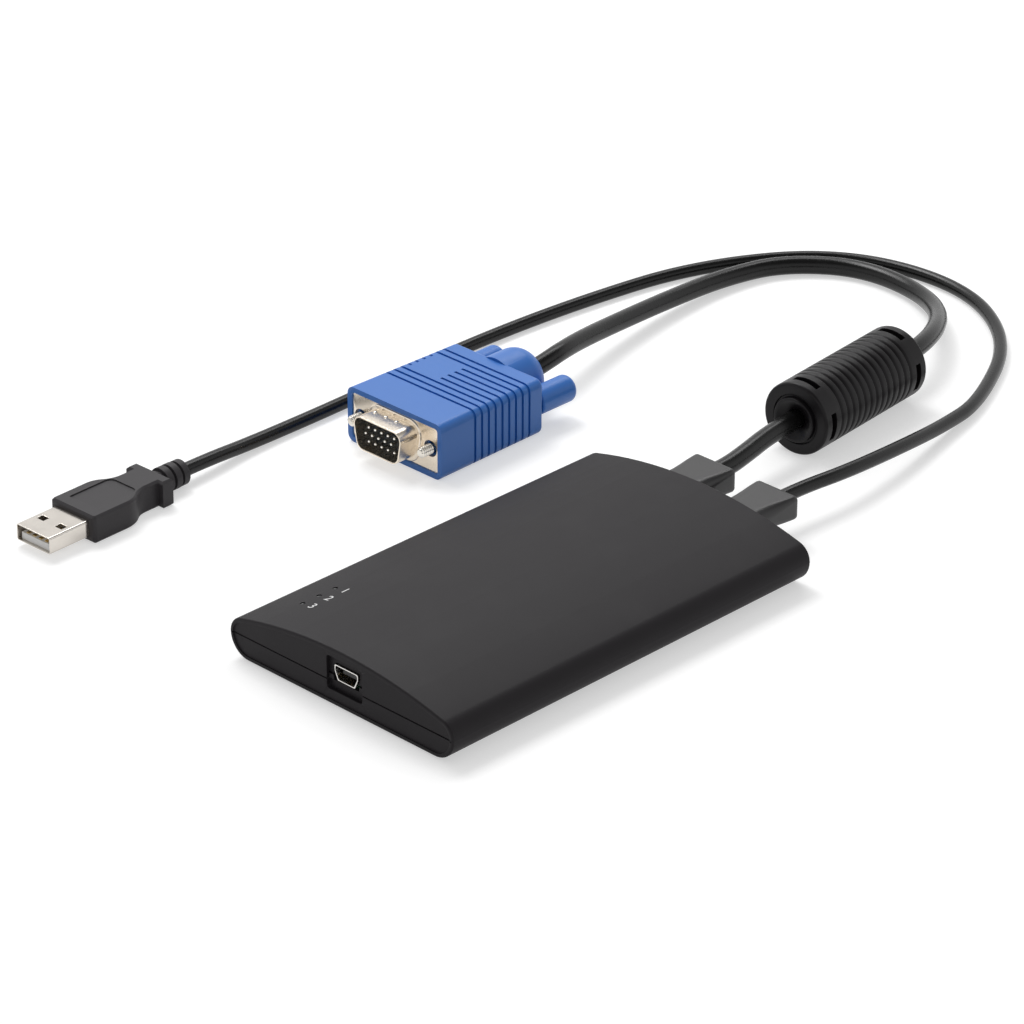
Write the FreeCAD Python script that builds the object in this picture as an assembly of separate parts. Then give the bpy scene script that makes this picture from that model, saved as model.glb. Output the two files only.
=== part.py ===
import FreeCAD
import Part
import math
import os
from FreeCAD import Vector

# Crash cart adapter: a slim console box with a VGA lead, a USB-A lead and a mini USB socket.
# Sizes are in millimetres. The origin is on the ground below the middle of the box, +Z is up,
# and +Y runs along the box to the end where the two leads come out.

# Box
BOX_LENGTH = 120.0
BOX_WIDTH = 73.6
HALF_LENGTH = BOX_LENGTH / 2
HALF_WIDTH = BOX_WIDTH / 2
CROWN_HEIGHT = 15.2
BASE_STANDOFF = 0.5
SEAM_HEIGHT = 6.5
SIDE_ROUND = 4.5
WALL = 1.8
END_EDGE_ROUND = 0.5

# Seam between the two covers
SEAM_GROOVE_HEIGHT = 0.3
SEAM_GROOVE_DEPTH = 0.5
LIP_THICKNESS = 0.8
LIP_HEIGHT = 1.2
LIP_CLEARANCE = 0.1

# Circuit board
BOARD_THICKNESS = 1.6
BOARD_TOP = 6.75
BOARD_SIDE_GAP = 1.0
BOARD_FRONT_GAP = 0.7
BOARD_REAR_GAP = 1.4
BOARD_WIDTH = 2 * (HALF_WIDTH - WALL - BOARD_SIDE_GAP)

# Case screws and the posts that they clamp
SCREW_SIDE_INSET = 8.3
SCREW_FRONT_INSET = 7.0
SCREW_REAR_INSET = 10.0
SCREW_X = HALF_WIDTH - SCREW_SIDE_INSET
SCREW_FRONT_Y = SCREW_FRONT_INSET - HALF_LENGTH
SCREW_REAR_Y = HALF_LENGTH - SCREW_REAR_INSET
SCREW_SHANK = 2.5
SCREW_HEAD = 4.6
SCREW_HEAD_HEIGHT = 1.7
SCREW_TIP_HEIGHT = 9.9
SCREW_HOLE_CLEARANCE = 0.2
PILOT_CLEARANCE = 0.05
COUNTERBORE = 5.2
COUNTERBORE_DEPTH = 2.0
POST_DIAMETER = 7.2
BOSS_DIAMETER = 6.0
BOSS_CROWN_MARGIN = 0.5
CROSS_RECESS_LENGTH = 2.6
CROSS_RECESS_WIDTH = 0.6
CROSS_RECESS_DEPTH = 0.9
REST_POST_DIAMETER = 4.0
REST_POST_INSET = 7.8
REST_POST_X = HALF_WIDTH - REST_POST_INSET

# Rubber feet
FOOT_SIDE_INSET = 12.8
FOOT_END_INSET = 20.0
FOOT_X = HALF_WIDTH - FOOT_SIDE_INSET
FOOT_Y = HALF_LENGTH - FOOT_END_INSET
FOOT_DIAMETER = 9.0
FOOT_RECESS = 0.7
FOOT_EDGE = 0.25

# Mini USB socket and its pocket in the front face
PORT_X = 1.4
PORT_WIDTH = 7.7
PORT_HEIGHT = 3.95
PORT_LENGTH = 9.2
PORT_METAL = 0.3
PORT_FOOT_WIDTH = 5.6
PORT_STRAIGHT_SIDE = 1.5
PORT_CORNER = 0.5
PORT_CLEARANCE = 0.15
POCKET_WIDTH = 11.6
POCKET_BOTTOM = 4.1
POCKET_TOP = 12.7
POCKET_DEPTH = 0.95
POCKET_CORNER = 0.8
TONGUE_WIDTH = 4.4
TONGUE_THICKNESS = 0.9
TONGUE_DROP = 0.15
TONGUE_SETBACK = 1.2
TONGUE_ROOT = 0.5
INSERT_BACK = 2.6
PORT_CONTACT_COUNT = 5
PORT_CONTACT_PITCH = 0.8
PORT_CONTACT_WIDTH = 0.4
PORT_CONTACT_THICKNESS = 0.15
PORT_CONTACT_SETBACK = 1.6

# Status lights
LIGHT_SIDE_INSET = 10.8
LIGHT_FRONT_INSET = 23.6
LIGHT_X = LIGHT_SIDE_INSET - HALF_WIDTH
LIGHT_Y_FIRST = LIGHT_FRONT_INSET - HALF_LENGTH
LIGHT_PITCH = 5.2
LIGHT_COUNT = 3
LIGHT_HOLE = 1.3
LIGHT_PIN_CLEARANCE = 0.1
LIGHT_PIN_RECESS = 0.2
LIGHT_BAR_WIDTH = 2.4
LIGHT_BAR_HEIGHT = 1.2
LIGHT_BAR_CLEARANCE = 0.15
LIGHT_STEM_DIAMETER = 2.0
LED_LENGTH = 1.6
LED_WIDTH = 0.8
LED_HEIGHT = 0.7
LED_GAP = 0.25

# Chips and other parts on the board: middle X, middle Y, length along X, length along Y, height
PROCESSOR = (8.0, -8.0, 16.0, 16.0, 1.4)
CONVERTER = (-13.0, 12.0, 12.0, 12.0, 1.2)
MEMORY = (23.0, -22.0, 6.0, 10.0, 1.1)
PROCESSOR_LEAD_COUNT = 12
CONVERTER_LEAD_COUNT = 9
MEMORY_LEAD_COUNT = 7
LEAD_LENGTH = 1.1
LEAD_THICKNESS = 0.25
LEAD_FILL = 0.45
CRYSTAL = (22.0, 2.0, 4.7, 11.4, 3.4)
CRYSTAL_ROUND = 2.34
INDUCTOR = (-17.0, -20.0, 7.3, 7.3, 3.8)
INDUCTOR_ROUND = 1.46
CAPACITOR_DIAMETER = 6.3
CAPACITOR_HEIGHT = 4.5
CAPACITOR_BASE = 6.6
CAPACITOR_BASE_HEIGHT = 0.9
CAPACITOR_FRONT_INSET = 22.0
CAPACITOR_Y = CAPACITOR_FRONT_INSET - HALF_LENGTH
CAPACITOR_FIRST_X = -4.0
CAPACITOR_PITCH = 8.4
CAPACITOR_COUNT = 3

# Headers on the board where the two leads end
HEADER_REAR_INSET = 18.5
HEADER_REAR_Y = HALF_LENGTH - HEADER_REAR_INSET
HEADER_DEPTH = 6.5
HEADER_HEIGHT = 4.6
HEADER_NOSE_INSET = 1.0
HEADER_NOSE_REACH = 1.0
VGA_HEADER_WIDTH = 15.0
USB_HEADER_WIDTH = 10.0
VGA_INNER_DIAMETER = 3.2
USB_INNER_DIAMETER = 2.4

# Moulded boots in the rear wall
VGA_BOOT_X = -8.6
USB_BOOT_X = 11.9
BOOT_HEIGHT_ABOVE_GROUND = 8.5
BOOT_WIDTH = 13.4
BOOT_THICKNESS = 6.4
BOOT_LENGTH = 16.0
BOOT_ROOT_ROUND = 3.1
BOOT_TIP_ROUND = 1.9
BOOT_NECK_WIDTH = 11.0
BOOT_NECK_THICKNESS = 4.8
BOOT_NECK_ROUND = 1.2
BOOT_FLANGE_WIDTH = 15.4
BOOT_FLANGE_THICKNESS = 7.0
BOOT_FLANGE_DEPTH = 2.0
BOOT_CLEARANCE = 0.1

# Leads
VGA_CABLE_DIAMETER = 5.0
USB_CABLE_DIAMETER = 3.6
ARC_SHARE = 0.45
VGA_BOOT_RUN = 4.5
VGA_TAIL_RUN = 6.9
USB_BOOT_RUN = 8.0
USB_TAIL_RUN = 9.0

# Ferrite choke on the VGA lead
CHOKE_X = -12.5
CHOKE_Y = 109.8
CHOKE_YAW = 5.5
CHOKE_DIAMETER = 19.5
CHOKE_LENGTH = 44.0
CHOKE_EDGE = 0.6
CHOKE_BORE_CLEARANCE = 0.1
CHOKE_COLLAR_DIAMETER = 12.0
CHOKE_COLLAR_INNER = 10.0
CHOKE_COLLAR_HEIGHT = 1.0
CHOKE_DISH_DEPTH = 0.6
CHOKE_MOAT_DIAMETER = 13.4
CHOKE_MOAT_DEPTH = 0.6
CHOKE_RING_COUNT = 13
CHOKE_RING_PITCH = 2.5
CHOKE_RING_WIDTH = 0.9
CHOKE_RING_DEPTH = 0.45
CHOKE_SLOT_COUNT = 4
CHOKE_SLOT_SPAN = 45.0
CHOKE_SLOT_TURN = -26.5
CHOKE_SLOT_INSET = 2.6
CHOKE_SLOT_WIDTH = 1.6
CHOKE_SLOT_DEPTH = 1.4
CORE_DIAMETER = 15.4
CORE_LENGTH = 30.0

# VGA plug
VGA_X = -81.3
VGA_Y = 36.2
HOOD_WIDTH = 33.8
HOOD_REAR_WIDTH = 32.2
HOOD_HEIGHT = 15.4
HOOD_LENGTH = 37.0
HOOD_ROUND = 2.2
HOOD_REAR_ROUND = 1.0
HOOD_NECK_DIAMETER = 16.0
HOOD_NECK_RISE = 0.5
HOOD_NECK_LENGTH = 11.9
HOOD_NECK_ROUND = 5.5
HOOD_GROOVE_COUNT = 9
HOOD_GROOVE_FIRST = 11.7
HOOD_GROOVE_PITCH = 2.47
HOOD_GROOVE_WIDTH = 0.8
HOOD_GROOVE_DEPTH = 0.5
PAD_LEFT = -13.7
PAD_RIGHT = -3.0
PAD_FIRST_GROOVE = 3
PAD_LAST_GROOVE = 6
FLANGE_WIDTH = 30.8
FLANGE_HEIGHT = 12.5
FLANGE_CORNER = 1.0
FLANGE_METAL = 0.7
FLANGE_RECESS = 0.4
FLANGE_HOLE = 4.4
SHELL_WIDTH = 17.8
SHELL_HEIGHT = 9.3
SHELL_SLOPE = 10.0
SHELL_CORNER = 2.6
SHELL_METAL = 0.45
SHELL_REACH = 6.4
SHELL_BEAD_OFFSET = 1.3
SHELL_BEAD_HEIGHT = 0.5
REAR_SHELL_DEPTH = 6.0
REAR_SHELL_GROWTH = 0.9
CAVITY_CLEARANCE = 0.2
INSULATOR_RECESS = 5.6
INSULATOR_CLEARANCE = 0.1
PIN_ROWS = 3
PIN_COLUMNS = 5
PIN_PITCH = 2.29
PIN_ROW_PITCH = 1.98
PIN_DIAMETER = 0.8
PIN_REACH = 4.8
PIN_SOCKET_DEPTH = 3.0
PIN_TIP_CHAMFER = 0.2

# Captive thumbscrews of the VGA plug
JACK_SPACING = 25.0
JACK_DIAMETER = 2.8
JACK_SHANK_DIAMETER = 2.4
JACK_REACH = 3.4
JACK_TIP_CHAMFER = 0.4
JACK_STEP = 0.2
JACK_WAY_DIAMETER = 3.6
JACK_BEARING_LENGTH = 3.0
JACK_BEARING_CLEARANCE = 0.06
JACK_COLLAR_DIAMETER = 3.2
JACK_COLLAR_LENGTH = 0.8
JACK_COLLAR_GAP = 0.3
KNOB_DIAMETER = 7.3
KNOB_LENGTH = 12.7
KNOB_GAP = 0.3
KNOB_TAIL_ROUND = 1.6
KNOB_NOSE_CHAMFER = 0.4
KNOB_BORE_DEPTH = 9.0

# USB-A plug, which lies slightly turned
USB_MOUTH_X = -107.8
USB_MOUTH_Y = -59.6
USB_YAW = 1.7
USB_BODY_WIDTH = 15.8
USB_BODY_THICKNESS = 7.4
USB_BODY_EDGE = 0.6
USB_FRONT_ROUND = 1.0
USB_SHELL_WIDTH = 12.0
USB_SHELL_HEIGHT = 4.5
USB_SHELL_METAL = 0.32
USB_SHELL_ROUND = 0.6
USB_SHELL_REACH = 12.8
USB_SHELL_SEAT = 6.0
USB_WINDOW_WIDTH = 2.4
USB_WINDOW_LENGTH = 2.0
USB_WINDOW_X = 3.25
USB_WINDOW_Y = 5.2
USB_TONGUE_THICKNESS = 1.9
USB_TONGUE_RECESS = 0.8
USB_BACK_LENGTH = 6.0
USB_CONTACT_COUNT = 4
USB_CONTACT_PITCH = 2.2
USB_CONTACT_WIDTH = 1.0
USB_CONTACT_THICKNESS = 0.2
USB_CONTACT_START = 1.2
USB_CONTACT_LENGTH = 7.5
USB_BLOCK_END = 24.1
USB_WAIST_START = 33.0
USB_WAIST_WIDTH = 9.6
USB_SHOULDER_START = 36.8
USB_SHOULDER_END = 40.3
USB_SHOULDER_WIDTH = 13.2
USB_RELIEF_ROOT = 3.3
USB_RELIEF_END = 49.2
USB_RELIEF_RINGS = ((42.0, 43.9, 3.5), (44.7, 46.6, 3.5), (47.4, 49.2, 3.4))
USB_RELIEF_CORE = 2.6
USB_PANEL_WIDTH = 10.0
USB_PANEL_START = 16.5
USB_PANEL_END = 30.2
USB_PANEL_ROUND = 2.0
USB_PANEL_DEPTH = 0.35

# Places worked out from the sizes above
BOTTOM_ROUND = SEAM_HEIGHT - BASE_STANDOFF
SEAM_TO_CROWN = CROWN_HEIGHT - SEAM_HEIGHT
ROUND_CENTRE_X = HALF_WIDTH - SIDE_ROUND
CROWN_RADIUS = ((ROUND_CENTRE_X ** 2 + SEAM_TO_CROWN ** 2 - SIDE_ROUND ** 2)
                / (2 * (SEAM_TO_CROWN - SIDE_ROUND)))
CROWN_CENTRE = CROWN_HEIGHT - CROWN_RADIUS
FLOOR_TOP = BASE_STANDOFF + WALL
BOARD_BOTTOM = BOARD_TOP - BOARD_THICKNESS
BOARD_FRONT = -HALF_LENGTH + WALL + BOARD_FRONT_GAP
BOARD_REAR = HALF_LENGTH - WALL - BOOT_FLANGE_DEPTH - BOARD_REAR_GAP
LIP_INSET = WALL - LIP_THICKNESS
PORT_FACE_Y = -HALF_LENGTH + POCKET_DEPTH
PORT_Z = BOARD_TOP + PORT_HEIGHT / 2
BOOT_END_Y = HALF_LENGTH + BOOT_LENGTH
CHOKE_Z = CHOKE_DIAMETER / 2
VGA_Z = HOOD_HEIGHT / 2
USB_Z = USB_BODY_THICKNESS / 2
HOOD_END_Y = VGA_Y + HOOD_LENGTH + HOOD_NECK_LENGTH
HOOD_END_Z = VGA_Z + HOOD_NECK_RISE
USB_TAIL_X = USB_MOUTH_X - USB_RELIEF_END * math.sin(math.radians(USB_YAW))
USB_TAIL_Y = USB_MOUTH_Y + USB_RELIEF_END * math.cos(math.radians(USB_YAW))

# Routes of the two leads, from the box to the plug
VGA_ROUTE = [
    (VGA_BOOT_X, BOOT_END_Y, BOOT_HEIGHT_ABOVE_GROUND),
    (VGA_BOOT_X, BOOT_END_Y + VGA_BOOT_RUN, BOOT_HEIGHT_ABOVE_GROUND),
    (-9.6, 88.5, 9.1),
    (-11.46, 99.0, CHOKE_Z),
    (-18.41, 171.2, CHOKE_Z),
    (-40.0, 199.5, 3.0),
    (-69.0, 204.5, 2.5),
    (-88.0, 190.5, 2.5),
    (-93.2, 172.0, 2.5),
    (-94.1, 150.0, 2.5),
    (-93.6, 128.0, 2.5),
    (-89.6, 112.0, 5.0),
    (-84.8, 100.0, 7.5),
    (VGA_X, HOOD_END_Y + VGA_TAIL_RUN, HOOD_END_Z),
    (VGA_X, HOOD_END_Y, HOOD_END_Z),
]
USB_ROUTE = [
    (USB_BOOT_X, BOOT_END_Y, BOOT_HEIGHT_ABOVE_GROUND),
    (USB_BOOT_X, BOOT_END_Y + USB_BOOT_RUN, BOOT_HEIGHT_ABOVE_GROUND),
    (13.4, 100.0, 8.0),
    (11.6, 122.0, 6.0),
    (8.0, 143.0, 3.2),
    (4.0, 163.0, 1.8),
    (-14.0, 197.5, 1.8),
    (-46.0, 216.5, 1.8),
    (-83.5, 209.0, 1.8),
    (-104.6, 174.0, 1.8),
    (-111.2, 133.0, 1.8),
    (-113.4, 92.0, 1.8),
    (-111.6, 50.0, 1.8),
    (-111.4, 16.0, 1.8),
    (USB_TAIL_X - USB_TAIL_RUN * math.sin(math.radians(USB_YAW)),
     USB_TAIL_Y + USB_TAIL_RUN * math.cos(math.radians(USB_YAW)), USB_Z),
    (USB_TAIL_X, USB_TAIL_Y, USB_Z),
]


def block(x0, x1, y0, y1, z0, z1):
    return Part.makeBox(x1 - x0, y1 - y0, z1 - z0, Vector(x0, y0, z0))


def upright(diameter, x, y, z0, z1):
    return Part.makeCylinder(diameter / 2, z1 - z0, Vector(x, y, z0), Vector(0, 0, 1))


def level(diameter, x, z, y0, y1):
    return Part.makeCylinder(diameter / 2, y1 - y0, Vector(x, y0, z), Vector(0, 1, 0))


def corner_arc(before, corner, after, radius):
    """Start, middle and end of the arc that rounds one corner."""
    back = (before - corner).normalize()
    ahead = (after - corner).normalize()
    half_angle = back.getAngle(ahead) / 2
    reach = radius / math.tan(half_angle)
    inward = (back + ahead).normalize()
    middle = corner + inward * (radius / math.sin(half_angle) - radius)
    return corner + back * reach, middle, corner + ahead * reach


def rounded_loop(points, radius):
    """Closed flat outline with every corner rounded by the same radius."""
    edges = []
    count = len(points)
    arcs = [corner_arc(points[i - 1], points[i], points[(i + 1) % count], radius) for i in range(count)]
    for i in range(count):
        start, middle, end = arcs[i]
        following = arcs[(i + 1) % count][0]
        edges.append(Part.Arc(start, middle, end).toShape())
        if end.distanceToPoint(following) > 1e-6:
            edges.append(Part.LineSegment(end, following).toShape())
    return Part.Wire(edges)


def rectangle_loop(width, height, radius, x, y, z):
    """Rounded rectangle that faces along Y."""
    half_w = width / 2
    half_h = height / 2
    corners = [Vector(x - half_w, y, z - half_h), Vector(x + half_w, y, z - half_h),
               Vector(x + half_w, y, z + half_h), Vector(x - half_w, y, z + half_h)]
    return rounded_loop(corners, radius)


def push(loop, depth):
    """Solid swept from a flat loop along +Y."""
    return Part.Face(loop).extrude(Vector(0, depth, 0))


def turned(profile):
    """Solid turned about the Y axis from (radius, y) points."""
    points = [Vector(r, y, 0) for r, y in profile]
    loop = Part.makePolygon(points + [points[0]])
    return Part.Face(loop).revolve(Vector(0, 0, 0), Vector(0, 1, 0), 360)


def placed(shape, x, y, z, yaw=0.0):
    moved = shape.copy()
    moved.rotate(Vector(0, 0, 0), Vector(0, 0, 1), yaw)
    moved.translate(Vector(x, y, z))
    return moved


def save(name, shape):
    shape.exportStep("parts/" + name + ".step")
    print(name, "solids", len(shape.Solids), "volume", round(shape.Volume, 2), "valid", shape.isValid())


def group(shapes):
    return Part.makeCompound(shapes)


# Box covers

def box_section(inset, y):
    """Outline of the box across its length, moved inwards by inset."""
    side = HALF_WIDTH - inset
    low_centre_x = HALF_WIDTH - BOTTOM_ROUND
    low_radius = BOTTOM_ROUND - inset
    high_radius = SIDE_ROUND - inset
    lean = math.atan2(SEAM_HEIGHT - CROWN_CENTRE, ROUND_CENTRE_X)
    touch_x = (CROWN_RADIUS - inset) * math.cos(lean)
    touch_z = CROWN_CENTRE + (CROWN_RADIUS - inset) * math.sin(lean)
    high_x = ROUND_CENTRE_X + high_radius * math.cos(lean / 2)
    high_z = SEAM_HEIGHT + high_radius * math.sin(lean / 2)
    low_x = low_centre_x + low_radius * math.cos(math.pi / 4)
    low_z = SEAM_HEIGHT - low_radius * math.sin(math.pi / 4)
    base = BASE_STANDOFF + inset
    top = Vector(0, y, CROWN_HEIGHT - inset)
    crown = Part.Arc(Vector(-touch_x, y, touch_z), top, Vector(touch_x, y, touch_z))
    right_high = Part.Arc(Vector(touch_x, y, touch_z), Vector(high_x, y, high_z), Vector(side, y, SEAM_HEIGHT))
    right_low = Part.Arc(Vector(side, y, SEAM_HEIGHT), Vector(low_x, y, low_z), Vector(low_centre_x, y, base))
    bottom = Part.LineSegment(Vector(low_centre_x, y, base), Vector(-low_centre_x, y, base))
    left_low = Part.Arc(Vector(-low_centre_x, y, base), Vector(-low_x, y, low_z), Vector(-side, y, SEAM_HEIGHT))
    left_high = Part.Arc(Vector(-side, y, SEAM_HEIGHT), Vector(-high_x, y, high_z),
                         Vector(-touch_x, y, touch_z))
    return Part.Wire([c.toShape() for c in (crown, right_high, right_low, bottom, left_low, left_high)])


def crown_inner_height(x):
    return CROWN_CENTRE + math.sqrt((CROWN_RADIUS - WALL) ** 2 - x ** 2)


def crown_outer_height(x):
    return CROWN_CENTRE + math.sqrt(CROWN_RADIUS ** 2 - x ** 2)


def box_body():
    """Solid form of the closed box with its end edges rounded."""
    body = push(box_section(0.0, -HALF_LENGTH), BOX_LENGTH)
    rims = [e for e in body.Edges if e.BoundBox.YLength < 1e-6]
    return body.makeFillet(END_EDGE_ROUND, rims)


def box_hollow():
    return push(box_section(WALL, -HALF_LENGTH + WALL), BOX_LENGTH - 2 * WALL)


def inset_slab(inset, z0, z1):
    return block(-HALF_WIDTH + inset, HALF_WIDTH - inset, -HALF_LENGTH + inset, HALF_LENGTH - inset, z0, z1)


def above_seam():
    return block(-HALF_WIDTH - 1, HALF_WIDTH + 1, -HALF_LENGTH - 1, HALF_LENGTH + 1,
                 SEAM_HEIGHT, CROWN_HEIGHT + 1)


def screw_places():
    return [(side * SCREW_X, y) for side in (-1, 1) for y in (SCREW_FRONT_Y, SCREW_REAR_Y)]


def foot_places():
    return [(sx * FOOT_X, sy * FOOT_Y) for sx in (-1, 1) for sy in (-1, 1)]


def light_places():
    return [(LIGHT_X, LIGHT_Y_FIRST - i * LIGHT_PITCH) for i in range(LIGHT_COUNT)]


def port_loop(growth, y):
    """Mini USB outline: straight upper sides and a narrower foot."""
    half = PORT_WIDTH / 2 + growth
    foot = PORT_FOOT_WIDTH / 2 + growth
    top = PORT_Z + PORT_HEIGHT / 2 + growth
    bottom = PORT_Z - PORT_HEIGHT / 2 - growth
    knee = PORT_Z + PORT_HEIGHT / 2 - PORT_STRAIGHT_SIDE
    corners = [(foot, bottom), (half, knee), (half, top), (-half, top), (-half, knee), (-foot, bottom)]
    return rounded_loop([Vector(PORT_X + dx, y, z) for dx, z in corners], PORT_CORNER)


def port_pocket():
    height = POCKET_TOP - POCKET_BOTTOM
    middle = (POCKET_TOP + POCKET_BOTTOM) / 2
    loop = rectangle_loop(POCKET_WIDTH, height, POCKET_CORNER, PORT_X, -HALF_LENGTH - 1, middle)
    return push(loop, POCKET_DEPTH + 1)


def port_window():
    """Way through the front wall for the socket, open at the seam."""
    window = push(port_loop(PORT_CLEARANCE, -HALF_LENGTH - 1), WALL + 2)
    half = PORT_FOOT_WIDTH / 2 + PORT_CLEARANCE
    slot = block(PORT_X - half, PORT_X + half, -HALF_LENGTH - 1, -HALF_LENGTH + WALL + 1,
                 SEAM_HEIGHT - SEAM_GROOVE_HEIGHT, PORT_Z)
    return window.fuse(slot)


def boot_ways():
    """Openings in the rear wall that the two boots' necks pass through."""
    ways = []
    for x in (VGA_BOOT_X, USB_BOOT_X):
        loop = rectangle_loop(BOOT_NECK_WIDTH + 2 * BOOT_CLEARANCE, BOOT_NECK_THICKNESS + 2 * BOOT_CLEARANCE,
                              BOOT_NECK_ROUND, x, HALF_LENGTH - WALL - 1, BOOT_HEIGHT_ABOVE_GROUND)
        ways.append(push(loop, WALL + 2))
    return ways


def lip_gaps():
    """Parts of the lip that the socket and the boots' inner flanges need clear."""
    top = SEAM_HEIGHT + LIP_HEIGHT + 1
    half = PORT_WIDTH / 2 + 2 * PORT_CLEARANCE
    gaps = [block(PORT_X - half, PORT_X + half, -HALF_LENGTH, -HALF_LENGTH + WALL + 1, SEAM_HEIGHT, top)]
    for x in (VGA_BOOT_X, USB_BOOT_X):
        half = BOOT_FLANGE_WIDTH / 2 + BOOT_CLEARANCE
        gaps.append(block(x - half, x + half, HALF_LENGTH - WALL - 1, HALF_LENGTH, SEAM_HEIGHT, top))
    return gaps


def bottom_cover(body, hollow):
    cover = body.cut(hollow).cut(above_seam())
    groove_bottom = SEAM_HEIGHT - SEAM_GROOVE_HEIGHT
    rim = inset_slab(-1.0, groove_bottom, SEAM_HEIGHT)
    cover = cover.cut(rim.cut(inset_slab(SEAM_GROOVE_DEPTH, groove_bottom, SEAM_HEIGHT)))
    lip = inset_slab(LIP_INSET, SEAM_HEIGHT, SEAM_HEIGHT + LIP_HEIGHT)
    lip = lip.cut(inset_slab(WALL, SEAM_HEIGHT - 1, SEAM_HEIGHT + LIP_HEIGHT + 1))
    for gap in lip_gaps():
        lip = lip.cut(gap)
    posts = [upright(POST_DIAMETER, x, y, FLOOR_TOP - 1, BOARD_BOTTOM) for x, y in screw_places()]
    posts += [upright(REST_POST_DIAMETER, sx * REST_POST_X, 0, FLOOR_TOP - 1, BOARD_BOTTOM) for sx in (-1, 1)]
    cover = cover.fuse([lip] + posts)
    shank_hole = SCREW_SHANK + 2 * SCREW_HOLE_CLEARANCE
    for x, y in screw_places():
        cover = cover.cut(upright(shank_hole, x, y, 0, BOARD_BOTTOM + 1))
        cover = cover.cut(upright(COUNTERBORE, x, y, 0, BASE_STANDOFF + COUNTERBORE_DEPTH))
    for x, y in foot_places():
        cover = cover.cut(upright(FOOT_DIAMETER, x, y, 0, BASE_STANDOFF + FOOT_RECESS))
    cover = cover.cut(port_pocket())
    for way in boot_ways():
        cover = cover.cut(way)
    return cover.removeSplitter()


def top_cover(body, hollow):
    cover = body.cut(hollow).common(above_seam())
    rebate_top = SEAM_HEIGHT + LIP_HEIGHT + LIP_CLEARANCE
    cover = cover.cut(inset_slab(LIP_INSET - LIP_CLEARANCE, SEAM_HEIGHT - 1, rebate_top))
    boss_top = crown_outer_height(SCREW_X + BOSS_DIAMETER / 2) - BOSS_CROWN_MARGIN
    bosses = [upright(BOSS_DIAMETER, x, y, BOARD_TOP, boss_top) for x, y in screw_places()]
    cover = cover.fuse(bosses)
    pilot = SCREW_SHANK + 2 * PILOT_CLEARANCE
    for x, y in screw_places():
        cover = cover.cut(upright(pilot, x, y, BOARD_TOP - 1, SCREW_TIP_HEIGHT + 2 * PILOT_CLEARANCE))
    for x, y in light_places():
        cover = cover.cut(upright(LIGHT_HOLE, x, y, BOARD_TOP, CROWN_HEIGHT))
    cover = cover.cut(port_pocket()).cut(port_window())
    for way in boot_ways():
        cover = cover.cut(way)
    return cover.removeSplitter()


def case_screws():
    screws = []
    seat = BASE_STANDOFF + COUNTERBORE_DEPTH
    for x, y in screw_places():
        screw = upright(SCREW_HEAD, x, y, seat - SCREW_HEAD_HEIGHT, seat)
        screw = screw.fuse(upright(SCREW_SHANK, x, y, seat, SCREW_TIP_HEIGHT))
        low = seat - SCREW_HEAD_HEIGHT
        long = CROSS_RECESS_LENGTH / 2
        narrow = CROSS_RECESS_WIDTH / 2
        screw = screw.cut(block(x - long, x + long, y - narrow, y + narrow, low, low + CROSS_RECESS_DEPTH))
        screw = screw.cut(block(x - narrow, x + narrow, y - long, y + long, low, low + CROSS_RECESS_DEPTH))
        screws.append(screw)
    return group(screws)


def rubber_feet():
    feet = []
    for x, y in foot_places():
        foot = upright(FOOT_DIAMETER, x, y, 0, BASE_STANDOFF + FOOT_RECESS)
        rim = [e for e in foot.Edges if e.BoundBox.ZMax < 1e-6]
        feet.append(foot.makeChamfer(FOOT_EDGE, rim))
    return group(feet)


# Board and what is on it

def circuit_board():
    board = block(-BOARD_WIDTH / 2, BOARD_WIDTH / 2, BOARD_FRONT, BOARD_REAR, BOARD_BOTTOM, BOARD_TOP)
    hole = SCREW_SHANK + 2 * SCREW_HOLE_CLEARANCE
    for x, y in screw_places():
        board = board.cut(upright(hole, x, y, BOARD_BOTTOM - 1, BOARD_TOP + 1))
    return board


def chip(place, leads_along_y, leads_along_x):
    """Flat package with rows of flat leads on two or four sides."""
    x, y, width, length, height = place
    body = block(x - width / 2, x + width / 2, y - length / 2, y + length / 2, BOARD_TOP, BOARD_TOP + height)
    rim = [e for e in body.Edges if e.BoundBox.ZMin > BOARD_TOP + height - 1e-6]
    pieces = [body.makeChamfer(LEAD_THICKNESS, rim)]
    lead_top = BOARD_TOP + LEAD_THICKNESS
    pitch = (length - LEAD_LENGTH) / leads_along_y
    half = pitch * LEAD_FILL / 2
    for i in range(leads_along_y):
        middle = y + (i - (leads_along_y - 1) / 2) * pitch
        reach = width / 2 + LEAD_LENGTH
        pieces.append(block(x - reach, x + reach, middle - half, middle + half, BOARD_TOP, lead_top))
    if leads_along_x:
        pitch = (width - LEAD_LENGTH) / leads_along_x
        half = pitch * LEAD_FILL / 2
        for i in range(leads_along_x):
            middle = x + (i - (leads_along_x - 1) / 2) * pitch
            reach = length / 2 + LEAD_LENGTH
            pieces.append(block(middle - half, middle + half, y - reach, y + reach, BOARD_TOP, lead_top))
    return pieces[0].fuse(pieces[1:]).removeSplitter()


def clock_crystal():
    x, y, width, length, height = CRYSTAL
    can = block(x - width / 2, x + width / 2, y - length / 2, y + length / 2, BOARD_TOP, BOARD_TOP + height)
    posts = [e for e in can.Edges if e.BoundBox.ZLength > height / 2]
    return can.makeFillet(CRYSTAL_ROUND, posts)


def power_inductor():
    x, y, width, length, height = INDUCTOR
    can = block(x - width / 2, x + width / 2, y - length / 2, y + length / 2, BOARD_TOP, BOARD_TOP + height)
    posts = [e for e in can.Edges if e.BoundBox.ZLength > height / 2]
    return can.makeFillet(INDUCTOR_ROUND, posts)


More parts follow.
